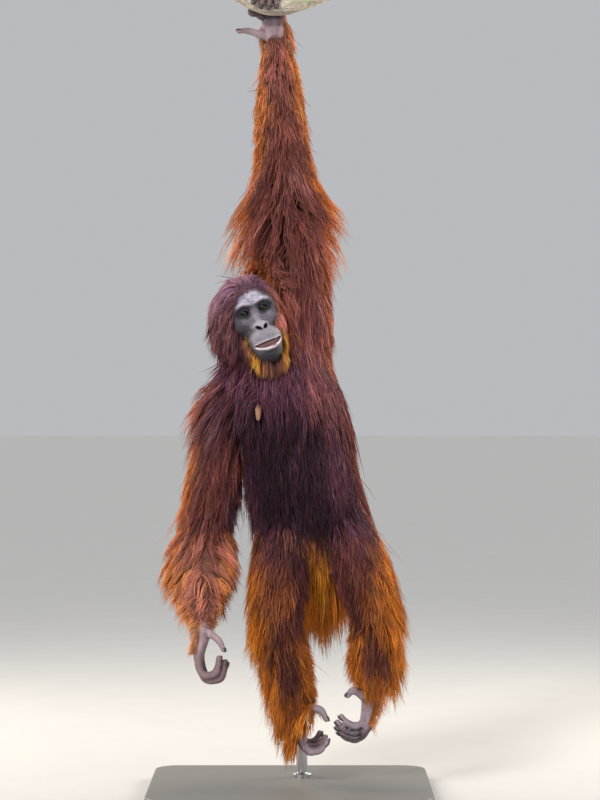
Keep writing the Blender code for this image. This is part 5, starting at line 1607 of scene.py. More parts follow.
class Coat:
    """The coat: tufts that follow guide locks, which are walked over the skin from their roots."""

    STEPS = 8            # of a guide lock
    NEAREST = 5          # guides that a tuft may choose from
    RISE, HEAD_RISE = 0.030, 0.060   # how far a guide may climb above its root
    LIFT = 0.005         # how far its middle lies off the skin where it comes out
    SUNK = 0.0025        # how far a tuft's root lies under the skin
    LEASH = 0.030        # how far a tuft's root may lie from its guide's

    def __init__(self, skin: bpy.types.Object, markings: Markings) -> None:
        """Takes the skin that it grows from and the animal's colours.

        Args:
            skin: the finished skin.
            markings: the animal's colours.
        """
        self.draw = np.random.default_rng(SEED)
        self.markings = markings
        corners, self.triangles = corners_of(skin), triangles_of(skin)
        self.tree = BVHTree.FromPolygons(corners.tolist(), self.triangles.tolist())
        spots = corners[self.triangles]
        cross = np.cross(spots[:, 1] - spots[:, 0], spots[:, 2] - spots[:, 0])
        self.area, self.spots, self.normals = np.linalg.norm(cross, axis=1) / 2, spots, unit(cross)
        self.site = Site(spots.mean(1), self.normals)
        self.open = 1 - self.site.bare()

    def roots(self, growth: Growth, count: int) -> tuple[Array, Array]:
        """Random places on the skin where one growth is rooted, and the skin's normals there.

        Args:
            growth: the piece of the coat.
            count: how many.

        Returns:
            The places and the normals.
        """
        site = self.site
        here = site.region == growth.region.value
        reach = site.station() if growth.region is Region.HEAD else site.u
        here &= (reach >= growth.span[0]) & (reach < growth.span[1])
        weight = self.area * self.open * here
        if growth.face:
            weight = weight * (growth.face * -self.normals[:, 1] >= 0)
        if growth.name == "fur_beard":
            weight = weight * (1 + 1.5 * (1 - step(site.local[:, 1], 0.02, 0.08)))
        pick = self.draw.choice(len(weight), count, p=weight / weight.sum())
        a, b = self.draw.random(count), self.draw.random(count)
        a, b = np.where(a + b > 1, 1 - a, a), np.where(a + b > 1, 1 - b, b)
        spot = self.spots[pick]
        return (spot[:, 0] + (spot[:, 1] - spot[:, 0]) * a[:, None] + (spot[:, 2] - spot[:, 0]) * b[:, None],
                self.normals[pick])

    def head_lie(self, site: Site) -> tuple[Array, Array, Array, Array, Array]:
        """How the hair of the head sets off, its length, how far it stands off, its sag and curl.

        Args:
            site: the places.

        Returns:
            Headings, lengths, how far tips stand off, sags and curls, one for each place.
        """
        x, y, z = site.local.T
        turned = HEAD.frame()[:3, :3]
        rim = np.clip(site.rim(), 0, 2.2)
        beard = (1 - step(z, -0.062, -0.035)) * (1 - step(y, 0.045, 0.085))
        aside = np.clip((x - 0.010) / 0.055, -1, 1)
        away = np.stack([0.95 * aside + 0.14 * lattice_noise(site.local, 0.03, 9),
                         0.85 + 0.7 * step(y, 0.0, 0.12),
                         0.30 * (1 - np.abs(aside)) - 0.5 * np.abs(aside)], -1)
        top = step(z, -0.005, 0.055)
        heading = away @ turned.T * (0.12 + 0.88 * top)[:, None]
        heading += DOWN * (1.0 - 0.85 * top)[:, None] + site.normals * 0.06
        parted = np.sign(x) * 0.15 * step(np.abs(x), 0.0, 0.03)
        chin = np.stack([parted, np.full_like(x, -0.12), np.full_like(x, -1.0)], -1) @ turned.T
        chin = chin + DOWN * 0.6 + site.normals * 0.22
        heading = heading + (chin - heading) * beard[:, None]
        near = step(rim, 1.0, 1.5)
        length = 0.022 + 0.048 * near + 0.030 * step(y, 0.03, 0.12) + 0.045 * (1 - step(z, -0.05, 0.05))
        length = length + (0.022 + 0.020 * step(-z, 0.09, 0.13) - length) * beard
        length = length - 0.016 * step(y, 0.02, 0.05) * step(-x, 0.02, 0.05) * (1 - step(z, -0.06, 0.01))
        longer = 0.035 * step(x, 0.045, 0.065) * (1 - step(z, 0.04, 0.08))
        length = length + longer * (1 - beard) * step(y, 0.02, 0.05)
        length = length + 0.012 * step(x, 0.015, 0.040) * beard
        sides = step(np.abs(x), 0.045, 0.07) * step(-z, -0.06, 0.02) * (1 - beard)
        length = length * (1 - 0.22 * sides)
        stand = (0.0050 + 0.001 * near) * (1 - beard) + (0.004 + 0.004 * step(-z, 0.09, 0.13)) * beard
        stand = stand + 0.010 * step(z, 0.045, 0.085)
        return heading, length, stand, 1.1 + 0.2 * beard, 0.0015 + 0.0015 * near

    def lie(self, site: Site, growth: Growth) -> tuple[Array, Array, Array, Array, Array]:
        """How the coat sets off at places of one growth, its length, stand, sag and curl.

        Args:
            site: the places.
            growth: the piece of the coat.

        Returns:
            Headings, lengths, how far tips stand off, sags and curls, one for each place.
        """
        if growth.region is Region.HEAD:
            return self.head_lie(site)
        table = np.array(LIES[growth.region])
        along, out, down, part, length, stand, sag, curl = (
            np.interp(site.u, table[:, 0], table[:, k]) for k in range(1, 9))
        offset = site.points - site.middle
        across = unit(np.cross(site.along, (0.0, -1.0, 0.0)))
        side = dot(offset, across)
        away = across * (np.sign(side) * step(np.abs(side), 0.0, 0.02))[:, None]
        heading = (site.along * along[:, None] + site.normals * out[:, None] + away * part[:, None]
                   + DOWN * down[:, None])
        tucked = step(site.normals[:, 0] * INWARD.get(growth.region, 0.0), 0.0, 0.5)
        low = step(-site.normals[:, 0], 0.1, 0.7) * step(site.u, 4.4, 5.6)
        low = low * (growth.region is Region.LEG_RIGHT)
        flank = step(site.normals[:, 0], 0.2, 0.8) if growth.region is Region.TRUNK else 0.0 * tucked
        nape = step(site.points[:, 2], 1.03, 1.09) * step(-site.normals[:, 0], 0.0, 0.5)
        stand = stand + 0.024 * nape * (growth.region in (Region.TRUNK, Region.ARM_RIGHT))
        if growth.region is Region.ARM_LEFT:
            fringe = step(-site.normals[:, 0], -0.1, 0.5) * step(site.u, 1.2, 2.0)
            fringe = fringe * (1 - step(site.u, 3.2, 4.0))
            low = 1 - step(site.u, 2.4, 3.4)
            behind = step(site.normals[:, 1], -0.2, 0.3)
            length = length + (0.070 - 0.010 * low - 0.075 * low * (1 - behind)) * fringe
            stand = stand + (0.014 + 0.026 * low * behind) * fringe
            outer = step(site.normals[:, 0], 0.0, 0.5) * (1 - step(site.u, 2.0, 2.8))
            length, stand = length * (1 - 0.3 * outer), stand * (1 - 0.5 * outer)
            heading = heading + np.array((-0.25, 0.40, 0.0)) * (low * behind * fringe)[:, None]
            sag = sag + 0.4 * fringe * (1 - low)
        close = tucked * (1 - step(site.u, 4.3, 5.0)) if growth.region is Region.LEG_LEFT else 0.0 * tucked
        foot = tucked * step(site.u, 5.9, 6.5)
        length = length * growth.size * (1 - 0.35 * tucked - 0.10 * close - 0.35 * foot) * (1 + 0.7 * low)
        heading = heading + site.normals * (0.30 * low)[:, None]
        stand = stand * (1 - 0.55 * tucked - 0.25 * close) * (1 - 0.6 * flank) * (1 + 2.0 * low)
        return heading, length, stand, sag, curl

    def walk(self, root: Array, normal: Array, heading: Array, length: Array, stand: Array,
             sag: Array) -> tuple[Array, Array]:
        """Guide locks laid over the body.

        Args:
            root: their places on the skin.
            normal: the skin's normals there.
            heading: the way that each sets off.
            length: each one's length.
            stand: how far each tip stands off.
            sag: how much each bends down.

        Returns:
            The places along each lock, and the way that its flat side faces there.
        """
        here, way, facing = root.copy(), unit(heading), normal.copy()
        places, faces = [root], [normal]
        stretch = 1 / self.STEPS
        for k in range(self.STEPS):
            share = (k + 1) * stretch
            way = unit(way + DOWN * (sag * stretch)[:, None])
            onward = here + way * (length * stretch)[:, None]
            found = [self.tree.find_nearest(spot)[:2] for spot in onward.tolist()]
            near, outward = (np.array([row[i][:] for row in found]) for i in (0, 1))
            off = onward - near
            inside = dot(off, outward) < 0
            out = unit(np.where(inside[:, None], outward, off + outward * 1e-5))
            gap = np.where(inside, 0, np.linalg.norm(off, axis=1))
            wanted = self.LIFT + (stand - self.LIFT) * share
            onward = np.where((gap < wanted)[:, None], near + out * wanted[:, None], onward)
            move = onward - here
            leap = np.linalg.norm(move, axis=1) / (1.6 * length * stretch + 0.002)
            onward = here + move / np.maximum(leap, 1)[:, None]
            close = gap < 3 * wanted
            facing = np.where(close[:, None], unit(facing + out), facing)
            way = unit(way + unit(onward - here) * 0.8)
            here = onward
            places.append(here)
            faces.append(facing)
        return np.stack(places, 1), np.stack(faces, 1)

    def grow(self, growth: Growth) -> bpy.types.Object:
        """One piece of the coat.

        Args:
            growth: the piece of the coat.

        Returns:
            The piece.
        """
        root, normal = self.roots(growth, growth.tufts)
        count = len(root)
        leaders = max(60, count // growth.lock)
        site = Site(root[:leaders], normal[:leaders])
        heading, length, stand, sag, curl = self.lie(site, growth)
        aside = np.cross(normal[:leaders], unit(heading))
        heading = heading + aside * self.draw.normal(0, 0.16, leaders)[:, None]
        length = length * self.draw.uniform(0.72, 1.16, leaders)
        stand = stand * self.draw.uniform(0.25, 1.25, leaders)
        places, faces = self.walk(root[:leaders], normal[:leaders], heading, length, stand, sag)
        lookup = KDTree(leaders)
        for k, spot in enumerate(root[:leaders].tolist()):
            lookup.insert(spot, k)
        lookup.balance()
        follow = np.empty(count, int)
        for k in range(count):
            near = lookup.find_n(root[k].tolist(), self.NEAREST)
            fits = [index for _, index, _ in near if normal[index] @ normal[k] > 0.55] or [near[0][1]]
            follow[k] = fits[min(int(self.draw.random() ** 2 * len(fits)), len(fits) - 1)]
        follow[:leaders] = np.arange(leaders)
        rise = (places[..., 2] - places[:, :1, 2]).max(1)
        led = np.linalg.norm(root - root[follow], axis=1) < self.LEASH
        led &= rise[follow] < (self.HEAD_RISE if growth.region is Region.HEAD else self.RISE)
        return self.weave(growth, root[led], normal[led], follow[led], places, faces, curl, length)

    def weave(self, growth: Growth, root: Array, normal: Array, follow: Array, places: Array, faces: Array,
              curl: Array, length: Array) -> bpy.types.Object:
        """The tufts of one growth as one mesh.

        Args:
            growth: the piece.
            root: the tufts' roots.
            normal: the skin's normals there.
            follow: the guide that each follows.
            places: places along the guides.
            faces: the way that the guides face there.
            curl: how far each guide's tufts wave.
            length: the guides' lengths.

        Returns:
            The piece.
        """
        count, rings = len(root), growth.rings
        shares = np.append(np.linspace(0, 1, rings + 1)[:-1] ** 0.9, 1.0)
        reach = self.draw.uniform(0.62, 1.06, count)
        head = growth.region is Region.HEAD
        stray = self.draw.random(count) < (0.006 if head else 0.035)
        clump = np.where(stray, 0.1, growth.clump * self.draw.uniform(0.6, 1.1, count))
        offset = root - places[follow, 0]
        phase = self.draw.uniform(0, 2 * np.pi, (2, len(length)))[:, follow]
        phase = phase + self.draw.normal(0, 0.5, (2, count))
        wild = self.draw.normal(0, 1, (count, 3)) * np.where(stray, 0.014, 0.0025 if head else 0.004)[:, None]
        spots, facing = [], []
        for share in shares:
            at = np.clip(share * reach, 0, 1) * self.STEPS
            first = np.minimum(at.astype(int), self.STEPS - 1)
            t = (at - first)[:, None]
            place = places[follow, first] * (1 - t) + places[follow, first + 1] * t
            face = unit(faces[follow, first] * (1 - t) + faces[follow, first + 1] * t)
            way = unit(places[follow, first + 1] - places[follow, first])
            side = unit(np.cross(way, face))
            close = clump * (share ** 0.9)
            place = place + offset * (1 - close)[:, None]
            wave = curl[follow] * share * (1.3 if rings > 4 else 1.0)
            swing = share * reach * length[follow] / 0.075 * 2 * np.pi
            place = place + side * (wave * np.sin(swing + phase[0]))[:, None]
            place = place + face * (wave * 0.5 * np.sin(swing * 1.2 + phase[1]))[:, None]
            spots.append(place + wild * share ** 1.5)
            facing.append(face)
        spots, facing = np.stack(spots, 1), np.stack(facing, 1)
        spots[:, 0] = root - normal * self.SUNK
        fine = np.clip(length[follow] / 0.070, 0.45, 1.0)
        shade = np.exp(0.62 * lattice_noise(places[follow, 0], 0.010, 21))
        return self.mesh(growth, root, normal, spots, facing, fine, shade)

    def mesh(self, growth: Growth, root: Array, normal: Array, spots: Array, facing: Array,
             fine: Array, shade: Array) -> bpy.types.Object:
        """Closed tufts, each with a flat underside and a ridge, with their colours and bake map.

        Args:
            growth: the piece.
            root: the tufts' roots.
            normal: the skin's normals there.
            spots: places along each tuft.
            facing: the way that its flat side faces there.
            fine: its width's share of the growth's.
            shade: how light its lock is.

        Returns:
            The piece.
        """
        count, rings = len(root), growth.rings
        way = unit(np.roll(spots, -1, 1) - spots)[:, :rings]
        across = unit(np.cross(way, facing[:, :rings]))
        twist = (self.draw.normal(0, 0.32, count)[:, None] + np.linspace(0, 1, rings) * self.draw.normal(
            0, 0.35, count)[:, None])[..., None]
        out = np.cross(across, way)
        c, s = np.cos(twist), np.sin(twist)
        across, out = across * c + out * s, out * c - across * s
        profile = np.interp(np.linspace(0, 1, rings + 1)[:-1], (0, 0.25, 0.6, 1), (0.65, 1.0, 0.85, 0.0))
        wide = (growth.width * fine * self.draw.uniform(0.6, 1.25, count))[:, None, None] * profile[:, None]
        body = spots[:, :rings]
        ringed = np.stack([body - across * wide / 2, body + out * wide * 0.30, body + across * wide / 2], 2)
        corners = np.concatenate([ringed.reshape(count, rings * 3, 3), spots[:, -1:]], 1)
        pattern = [(0, 2, 1)]
        for k in range(rings - 1):
            for j in range(3):
                a, b = 3 * k + j, 3 * k + (j + 1) % 3
                pattern += [(a, b, b + 3), (a, b + 3, a + 3)]
        last = 3 * (rings - 1)
        pattern += [(last + j, last + (j + 1) % 3, rings * 3) for j in range(3)]
        each = rings * 3 + 1
        faces = (np.array(pattern)[None] + np.arange(count)[:, None, None] * each).reshape(-1, 3)
        made = new_mesh(growth.name, corners.reshape(-1, 3), faces)
        self.colours(made, root, normal, rings, shade)
        self.bake_map(made, root, normal, faces, rings)
        return made

    def colours(self, made: bpy.types.Object, root: Array, normal: Array, rings: int, shade: Array) -> None:
        """Stores each tuft's colour: darker at its root as painted shade deep in the coat, brighter and
        warmer at its tip.

        Args:
            made: the piece.
            root: the tufts' roots.
            normal: the skin's normals there.
            rings: how many rings of corners a tuft has.
            shade: how light each tuft's lock is.
        """
        count = len(root)
        tone = self.markings.coat(Site(root, normal))
        tone = tone * (shade * np.exp(self.draw.normal(0, 0.15, count)))[:, None]
        warm = np.clip(self.draw.normal(0, 0.10, count), -0.25, 0.25)
        tone = tone * np.stack([1 + warm, np.ones(count), 1 - warm], 1)
        share = np.append(np.repeat(np.linspace(0, 1, rings + 1)[:-1], 3), 1.0)
        # The darker roots are painted shade deep in the coat.
        light = np.interp(share, (0, 0.3, 0.7, 1), (0.50, 0.88, 1.10, 1.35))
        redder = np.stack([light, light ** 1.02, light ** 0.92], 1)
        values = np.clip(tone[:, None] * redder[None], 0.001, 1).reshape(-1, 3)
        paint(made, "tone", values)

    def bake_map(self, made: bpy.types.Object, root: Array, normal: Array, faces: Array,
                 rings: int) -> None:
        """Gives each tuft a small patch of the bake map, at its root's place round and along its limb.

        Args:
            made: the piece.
            root: the tufts' roots.
            normal: the skin's normals there.
            faces: the piece's triangles.
            rings: how many rings of corners a tuft has.
        """
        site = Site(root, normal)
        place = 0.01 + 0.98 * np.stack([site.turn(), np.clip(site.station(), 0, 1)], 1)
        side = np.append(np.tile((-1.0, 0.0, 1.0), rings), 0.0)
        rise = np.append(np.repeat(np.linspace(-1, 1, rings + 1)[:-1], 3), 1.0)
        patch = np.stack([side, rise], 1) * 0.0015
        spots = (place[:, None] + patch[None]).reshape(-1, 2)
        layer = made.data.uv_layers.new(name="OFBake")
        layer.data.foreach_set("uv", spots[faces.ravel()].astype(np.float32).ravel())


# ---------------------------------------------------------------- node trees

class Tree:
    """A node tree with one way of adding a node."""

    def __init__(self, tree: bpy.types.NodeTree) -> None:
        """Wraps a tree."""
        self.tree = tree

    def node(self, kind: str, settings: Optional[dict] = None,
             values: Optional[dict] = None) -> bpy.types.Node:
        """Adds a node.

        Args:
            kind: its type.
            settings: its properties, set first; a ramp's stops go under "stops".
            values: numbers or links of its sockets, by name or place.

        Returns:
            The node.
        """
        made = self.tree.nodes.new(kind)
        for name, value in (settings or {}).items():
            if name == "stops":
                ramp = made.color_ramp
                for k, (place, tone) in enumerate(value):
                    stop = ramp.elements[k] if k < 2 else ramp.elements.new(place)
                    stop.position, stop.color = place, (*tone, 1.0)
            else:
                setattr(made, name, value)
        for name, value in (values or {}).items():
            socket = made.inputs[name]
            if isinstance(value, Wire):
                self.tree.links.new(value.socket, socket)
            elif isinstance(value, bpy.types.NodeSocket):
                self.tree.links.new(value, socket)
            else:
                socket.default_value = value
        return made

    def wire(self, made: bpy.types.Node, output: Any = 0) -> "Wire":
        """A node's output, ready for sums."""
        return Wire(self, made.outputs[output])

    def place(self, stretch: tuple[float, float, float]) -> bpy.types.NodeSocket:
        """Object coordinates, stretched."""
        place = self.node("ShaderNodeTexCoord").outputs["Object"]
        return self.node("ShaderNodeMapping", values={"Vector": place, "Scale": stretch}).outputs[0]

    def noise(self, scale: float, detail: float = 3.0, roughness: float = 0.55, distortion: float = 0.0,
              stretch: tuple[float, float, float] = (1, 1, 1)) -> "Wire":
        """Noise on Object coordinates, from 0 to 1."""
        return self.wire(self.node("ShaderNodeTexNoise", values={
            "Vector": self.place(stretch), "Scale": scale, "Detail": detail, "Roughness": roughness,
            "Distortion": distortion}), "Fac")

    def cells(self, scale: float, stretch: tuple[float, float, float] = (1, 1, 1)) -> "Wire":
        """The distance to the edges of random cells on Object coordinates."""
        return self.wire(self.node("ShaderNodeTexVoronoi", {"feature": "DISTANCE_TO_EDGE"}, {
            "Vector": self.place(stretch), "Scale": scale}), "Distance")

    def attribute(self, name: str, output: str = "Color") -> "Wire":
        """What the mesh stores under a name."""
        return self.wire(self.node("ShaderNodeAttribute", {"attribute_name": name}), output)

    def mix(self, share: Any, first: Any, second: Any, kind: str = "MIX") -> "Wire":
        """A colour between or from two others.

        Args:
            share: how much of the second.
            first: a colour or a link.
            second: a colour or a link.
            kind: the way that they mix.

        Returns:
            The colour.
        """
        made = self.node("ShaderNodeMix", {"data_type": "RGBA", "blend_type": kind, "clamp_result": False})
        for index, value in ((0, share), (6, first), (7, second)):
            if isinstance(value, Wire):
                self.tree.links.new(value.socket, made.inputs[index])
            elif index:
                made.inputs[index].default_value = (*value, 1.0)
            else:
                made.inputs[index].default_value = value
        return Wire(self, made.outputs[2])

    def scaled(self, tone: "Wire", share: "Wire") -> "Wire":
        """A colour times a number."""
        return self.wire(self.node("ShaderNodeVectorMath", {"operation": "SCALE"}, {
            "Vector": tone, "Scale": share}), "Vector")

    def bump(self, height: "Wire", distance: float, strength: float = 1.0) -> "Wire":
        """A normal raised by a height."""
        return self.wire(self.node("ShaderNodeBump", values={
            "Height": height, "Distance": distance, "Strength": strength}), "Normal")


class Wire:
    """A socket on which sums add Math nodes."""

    def __init__(self, tree: Tree, socket: bpy.types.NodeSocket) -> None:
        """Wraps an output socket."""
        self.tree, self.socket = tree, socket

    def sum(self, operation: str, other: Any = 0.0, turned: bool = False) -> "Wire":
        """One Math node on this and another value."""
        first, second = (other, self) if turned else (self, other)
        made = self.tree.node("ShaderNodeMath", {"operation": operation}, {0: first, 1: second})
        return self.tree.wire(made)

    def __add__(self, other: Any) -> "Wire":
        """The sum."""
        return self.sum("ADD", other)

    def __sub__(self, other: Any) -> "Wire":
        """The difference."""
        return self.sum("SUBTRACT", other)

    def __rsub__(self, other: Any) -> "Wire":
        """The difference, this one second."""
        return self.sum("SUBTRACT", other, True)

    def __mul__(self, other: Any) -> "Wire":
        """The product."""
        return self.sum("MULTIPLY", other)

    def __pow__(self, other: Any) -> "Wire":
        """The power."""
        return self.sum("POWER", other)

    __radd__, __rmul__ = __add__, __mul__

    def ramp(self, low: float, high: float) -> "Wire":
        """A smooth rise from 0 at low to 1 at high."""
        made = self.tree.node("ShaderNodeMapRange", {"interpolation_type": "SMOOTHSTEP"}, {
            "Value": self, "From Min": low, "From Max": high})
        return self.tree.wire(made)


@dataclass(frozen=True)
class Finish:
    """A finish on a Principled shader: the numbers that are the same all over."""

    name: str
    roughness: float = 0.5
    metallic: float = 0.0
    coat: float = 0.0
    sheen: float = 0.0
    sheen_tone: tuple[float, float, float] = (1.0, 1.0, 1.0)
    specular: float = 0.5
    scatter: float = 0.0

    def material(self) -> bpy.types.Material:
        """The material, made once.

        Returns:
            The material.
        """
        if self.name in bpy.data.materials:
            return bpy.data.materials[self.name]
        made = bpy.data.materials.new(self.name)
        made.use_nodes = True
        tree = Tree(made.node_tree)
        shader = made.node_tree.nodes["Principled BSDF"]
        for socket, value in (("Roughness", self.roughness), ("Metallic", self.metallic),
                              ("Coat Weight", self.coat), ("Coat Roughness", 0.04),
                              ("Sheen Weight", self.sheen), ("Sheen Tint", (*self.sheen_tone, 1.0)),
                              ("Sheen Roughness", 0.45),
                              ("Specular IOR Level", self.specular)):
            shader.inputs[socket].default_value = value
        if self.scatter:
            shader.inputs["Subsurface Weight"].default_value = self.scatter
            shader.inputs["Subsurface Radius"].default_value = (0.006, 0.003, 0.002)
            shader.inputs["Subsurface Scale"].default_value = 1.0
        for socket, wire in self.sockets(tree).items():
            tree.tree.links.new(wire.socket, shader.inputs[socket])
        return made

    def sockets(self, tree: Tree) -> dict[str, Wire]:
        """What varies over the surface, by the shader's socket."""
        return {}


@dataclass(frozen=True)
class SkinFinish(Finish):
    """Bare skin: creased and pored, with the painted tones mottled and darker where its relief is low, as
    painted shade.
    """

    def sockets(self, tree: Tree) -> dict[str, Wire]:
        """Tone, roughness and creases.

        Args:
            tree: the material's tree.

        Returns:
            Links by the shader's socket.
        """
        fine, pores = tree.cells(620.0, (1, 1, 1.5)), tree.noise(1500.0, 2.0)
        folds = tree.noise(190.0, 4.0, 0.6, 0.6, (0.6, 1, 1.8))
        tone = tree.attribute("tone")
        # The tone follows the relief: the folds' noise mottles it and, with the cells' edges, darkens it
        # where the relief is low, as painted shade.
        shade = 0.80 + 0.28 * folds + 0.10 * fine.ramp(0.0, 0.25)
        height = 0.55 * folds + 0.30 * fine.ramp(0.0, 0.30) + 0.12 * pores
        return {"Base Color": tree.scaled(tone, shade), "Roughness": 0.42 + 0.30 * folds,
                "Normal": tree.bump(height, 0.0011, 0.9)}


@dataclass(frozen=True)
class CoatFinish(Finish):
    """Long hair: the painted tones with fine streaks."""

    def sockets(self, tree: Tree) -> dict[str, Wire]:
        """Tone, roughness and the strands' fine relief.

        Args:
            tree: the material's tree.

        Returns:
            Links by the shader's socket.
        """
        strands = tree.noise(900.0, 2.0, 0.6, 0.0, (1.0, 1.0, 0.16))
        tufts = tree.noise(60.0, 3.0, 0.6)
        shade = 0.62 + 0.50 * strands + 0.24 * tufts
        return {"Base Color": tree.scaled(tree.attribute("tone"), shade), "Roughness": 0.40 + 0.25 * strands,
                "Normal": tree.bump(strands, 0.0010, 0.6)}


@dataclass(frozen=True)
class EyeFinish(Finish):
    """A wet eye with its painted iris."""

    def sockets(self, tree: Tree) -> dict[str, Wire]:
        """Tone with fine streaks."""
        return {"Base Color": tree.scaled(tree.attribute("tone"), 0.85 + 0.3 * tree.noise(900.0, 2.0))}


@dataclass(frozen=True)
class PlainFinish(Finish):
    """A finish between two tones, with noise in its tone, roughness and relief."""

    pair: tuple = ((188, 188, 188), (203, 203, 203))     # display values between 0 and 255
    scale: float = 60.0
    stretch: tuple[float, float, float] = (1, 1, 1)
    relief: float = 0.0003
    spread: float = 0.12

    def sockets(self, tree: Tree) -> dict[str, Wire]:
        """Tone, roughness and relief from one noise.

        Args:
            tree: the material's tree.

        Returns:
            Links by the shader's socket.
        """
        grain = tree.noise(self.scale, 4.0, 0.6, 0.0, self.stretch)
        return {"Base Color": tree.mix(grain.ramp(0.3, 0.7), *tones(*self.pair)),
                "Roughness": (self.roughness - self.spread / 2) + self.spread * grain,
                "Normal": tree.bump(grain, self.relief, 0.8)}


@dataclass(frozen=True)
class BarkFinish(Finish):
    """Pale weathered bark with cracks along it, darker hollows and patches of green-grey lichen."""

    def sockets(self, tree: Tree) -> dict[str, Wire]:
        """Tone, roughness and relief.

        Args:
            tree: the material's tree.

        Returns:
            Links by the shader's socket.
        """
        ridges = tree.noise(55.0, 5.0, 0.65, 1.2, (0.35, 1.6, 1.6))
        cracks = tree.cells(110.0, (0.22, 1.2, 1.2)).ramp(0.0, 0.07)
        specks = tree.noise(420.0, 3.0, 0.7, 0.0, (0.6, 1, 1)).ramp(0.60, 0.68)
        patches = tree.noise(24.0, 4.0, 0.6).ramp(0.56, 0.66)
        dull, pale, crack, speck, lichen, wood, ring = tones(
            (150, 134, 116), (226, 216, 200), (84, 70, 58), (92, 78, 66), (168, 190, 140),
            (196, 160, 112), (156, 118, 76))
        bark = tree.mix(ridges.ramp(0.32, 0.68), dull, pale)
        bark = tree.mix((1 - cracks) * 0.35, bark, crack)
        bark = tree.mix(specks * 0.6, bark, speck)
        bark = tree.mix(patches * 0.6, bark, lichen)
        end = tree.attribute("sawn", "Fac")
        rings = tree.noise(160.0, 3.0, 0.5, 0.4)
        sawn = tree.mix(rings, wood, ring)
        height = ridges * 0.75 + cracks * 0.15
        return {"Base Color": tree.mix(end, bark, sawn), "Roughness": 0.78 + 0.15 * ridges,
                "Normal": tree.bump(height, 0.0035, 0.9)}


FUR = CoatFinish("long_hair", sheen=0.08, sheen_tone=(1.0, 0.86, 0.80), specular=0.22)
BARE = SkinFinish("bare_skin", specular=0.42, scatter=0.06)
EYE = EyeFinish("wet_eye", roughness=0.12, coat=0.45, specular=0.25)
BARK = BarkFinish("weathered_bark", specular=0.3)
NAIL = PlainFinish("horn_nail", 0.34, pair=((52, 44, 46), (86, 74, 74)), scale=260.0, stretch=(1, 1, 0.25),
                   relief=0.0003)
TONGUE_SKIN = PlainFinish("tongue_skin", 0.30, coat=0.35, pair=((150, 104, 108), (176, 132, 134)),
                          scale=420.0, relief=0.0006)
TOOTH = PlainFinish("tooth_enamel", 0.22, coat=0.4, pair=((214, 202, 172), (232, 224, 204)), scale=160.0,
                    stretch=(1, 1, 0.3), relief=0.0001)
BASE = PlainFinish("satin_slab", 0.44, pair=((112, 110, 106), (122, 120, 116)), scale=240.0, relief=0.00012)
STEEL = PlainFinish("brushed_steel", 0.30, metallic=1.0, pair=((168, 169, 172), (196, 197, 200)), scale=700.0,
                    stretch=(1, 1, 0.02), relief=0.0001)
FLOOR = PlainFinish("studio_floor", 0.9, pair=((196, 196, 195), (198, 198, 197)), scale=6.0, relief=0.0,
                    specular=0.1)


# ---------------------------------------------------------------- pieces made by Geometry Nodes

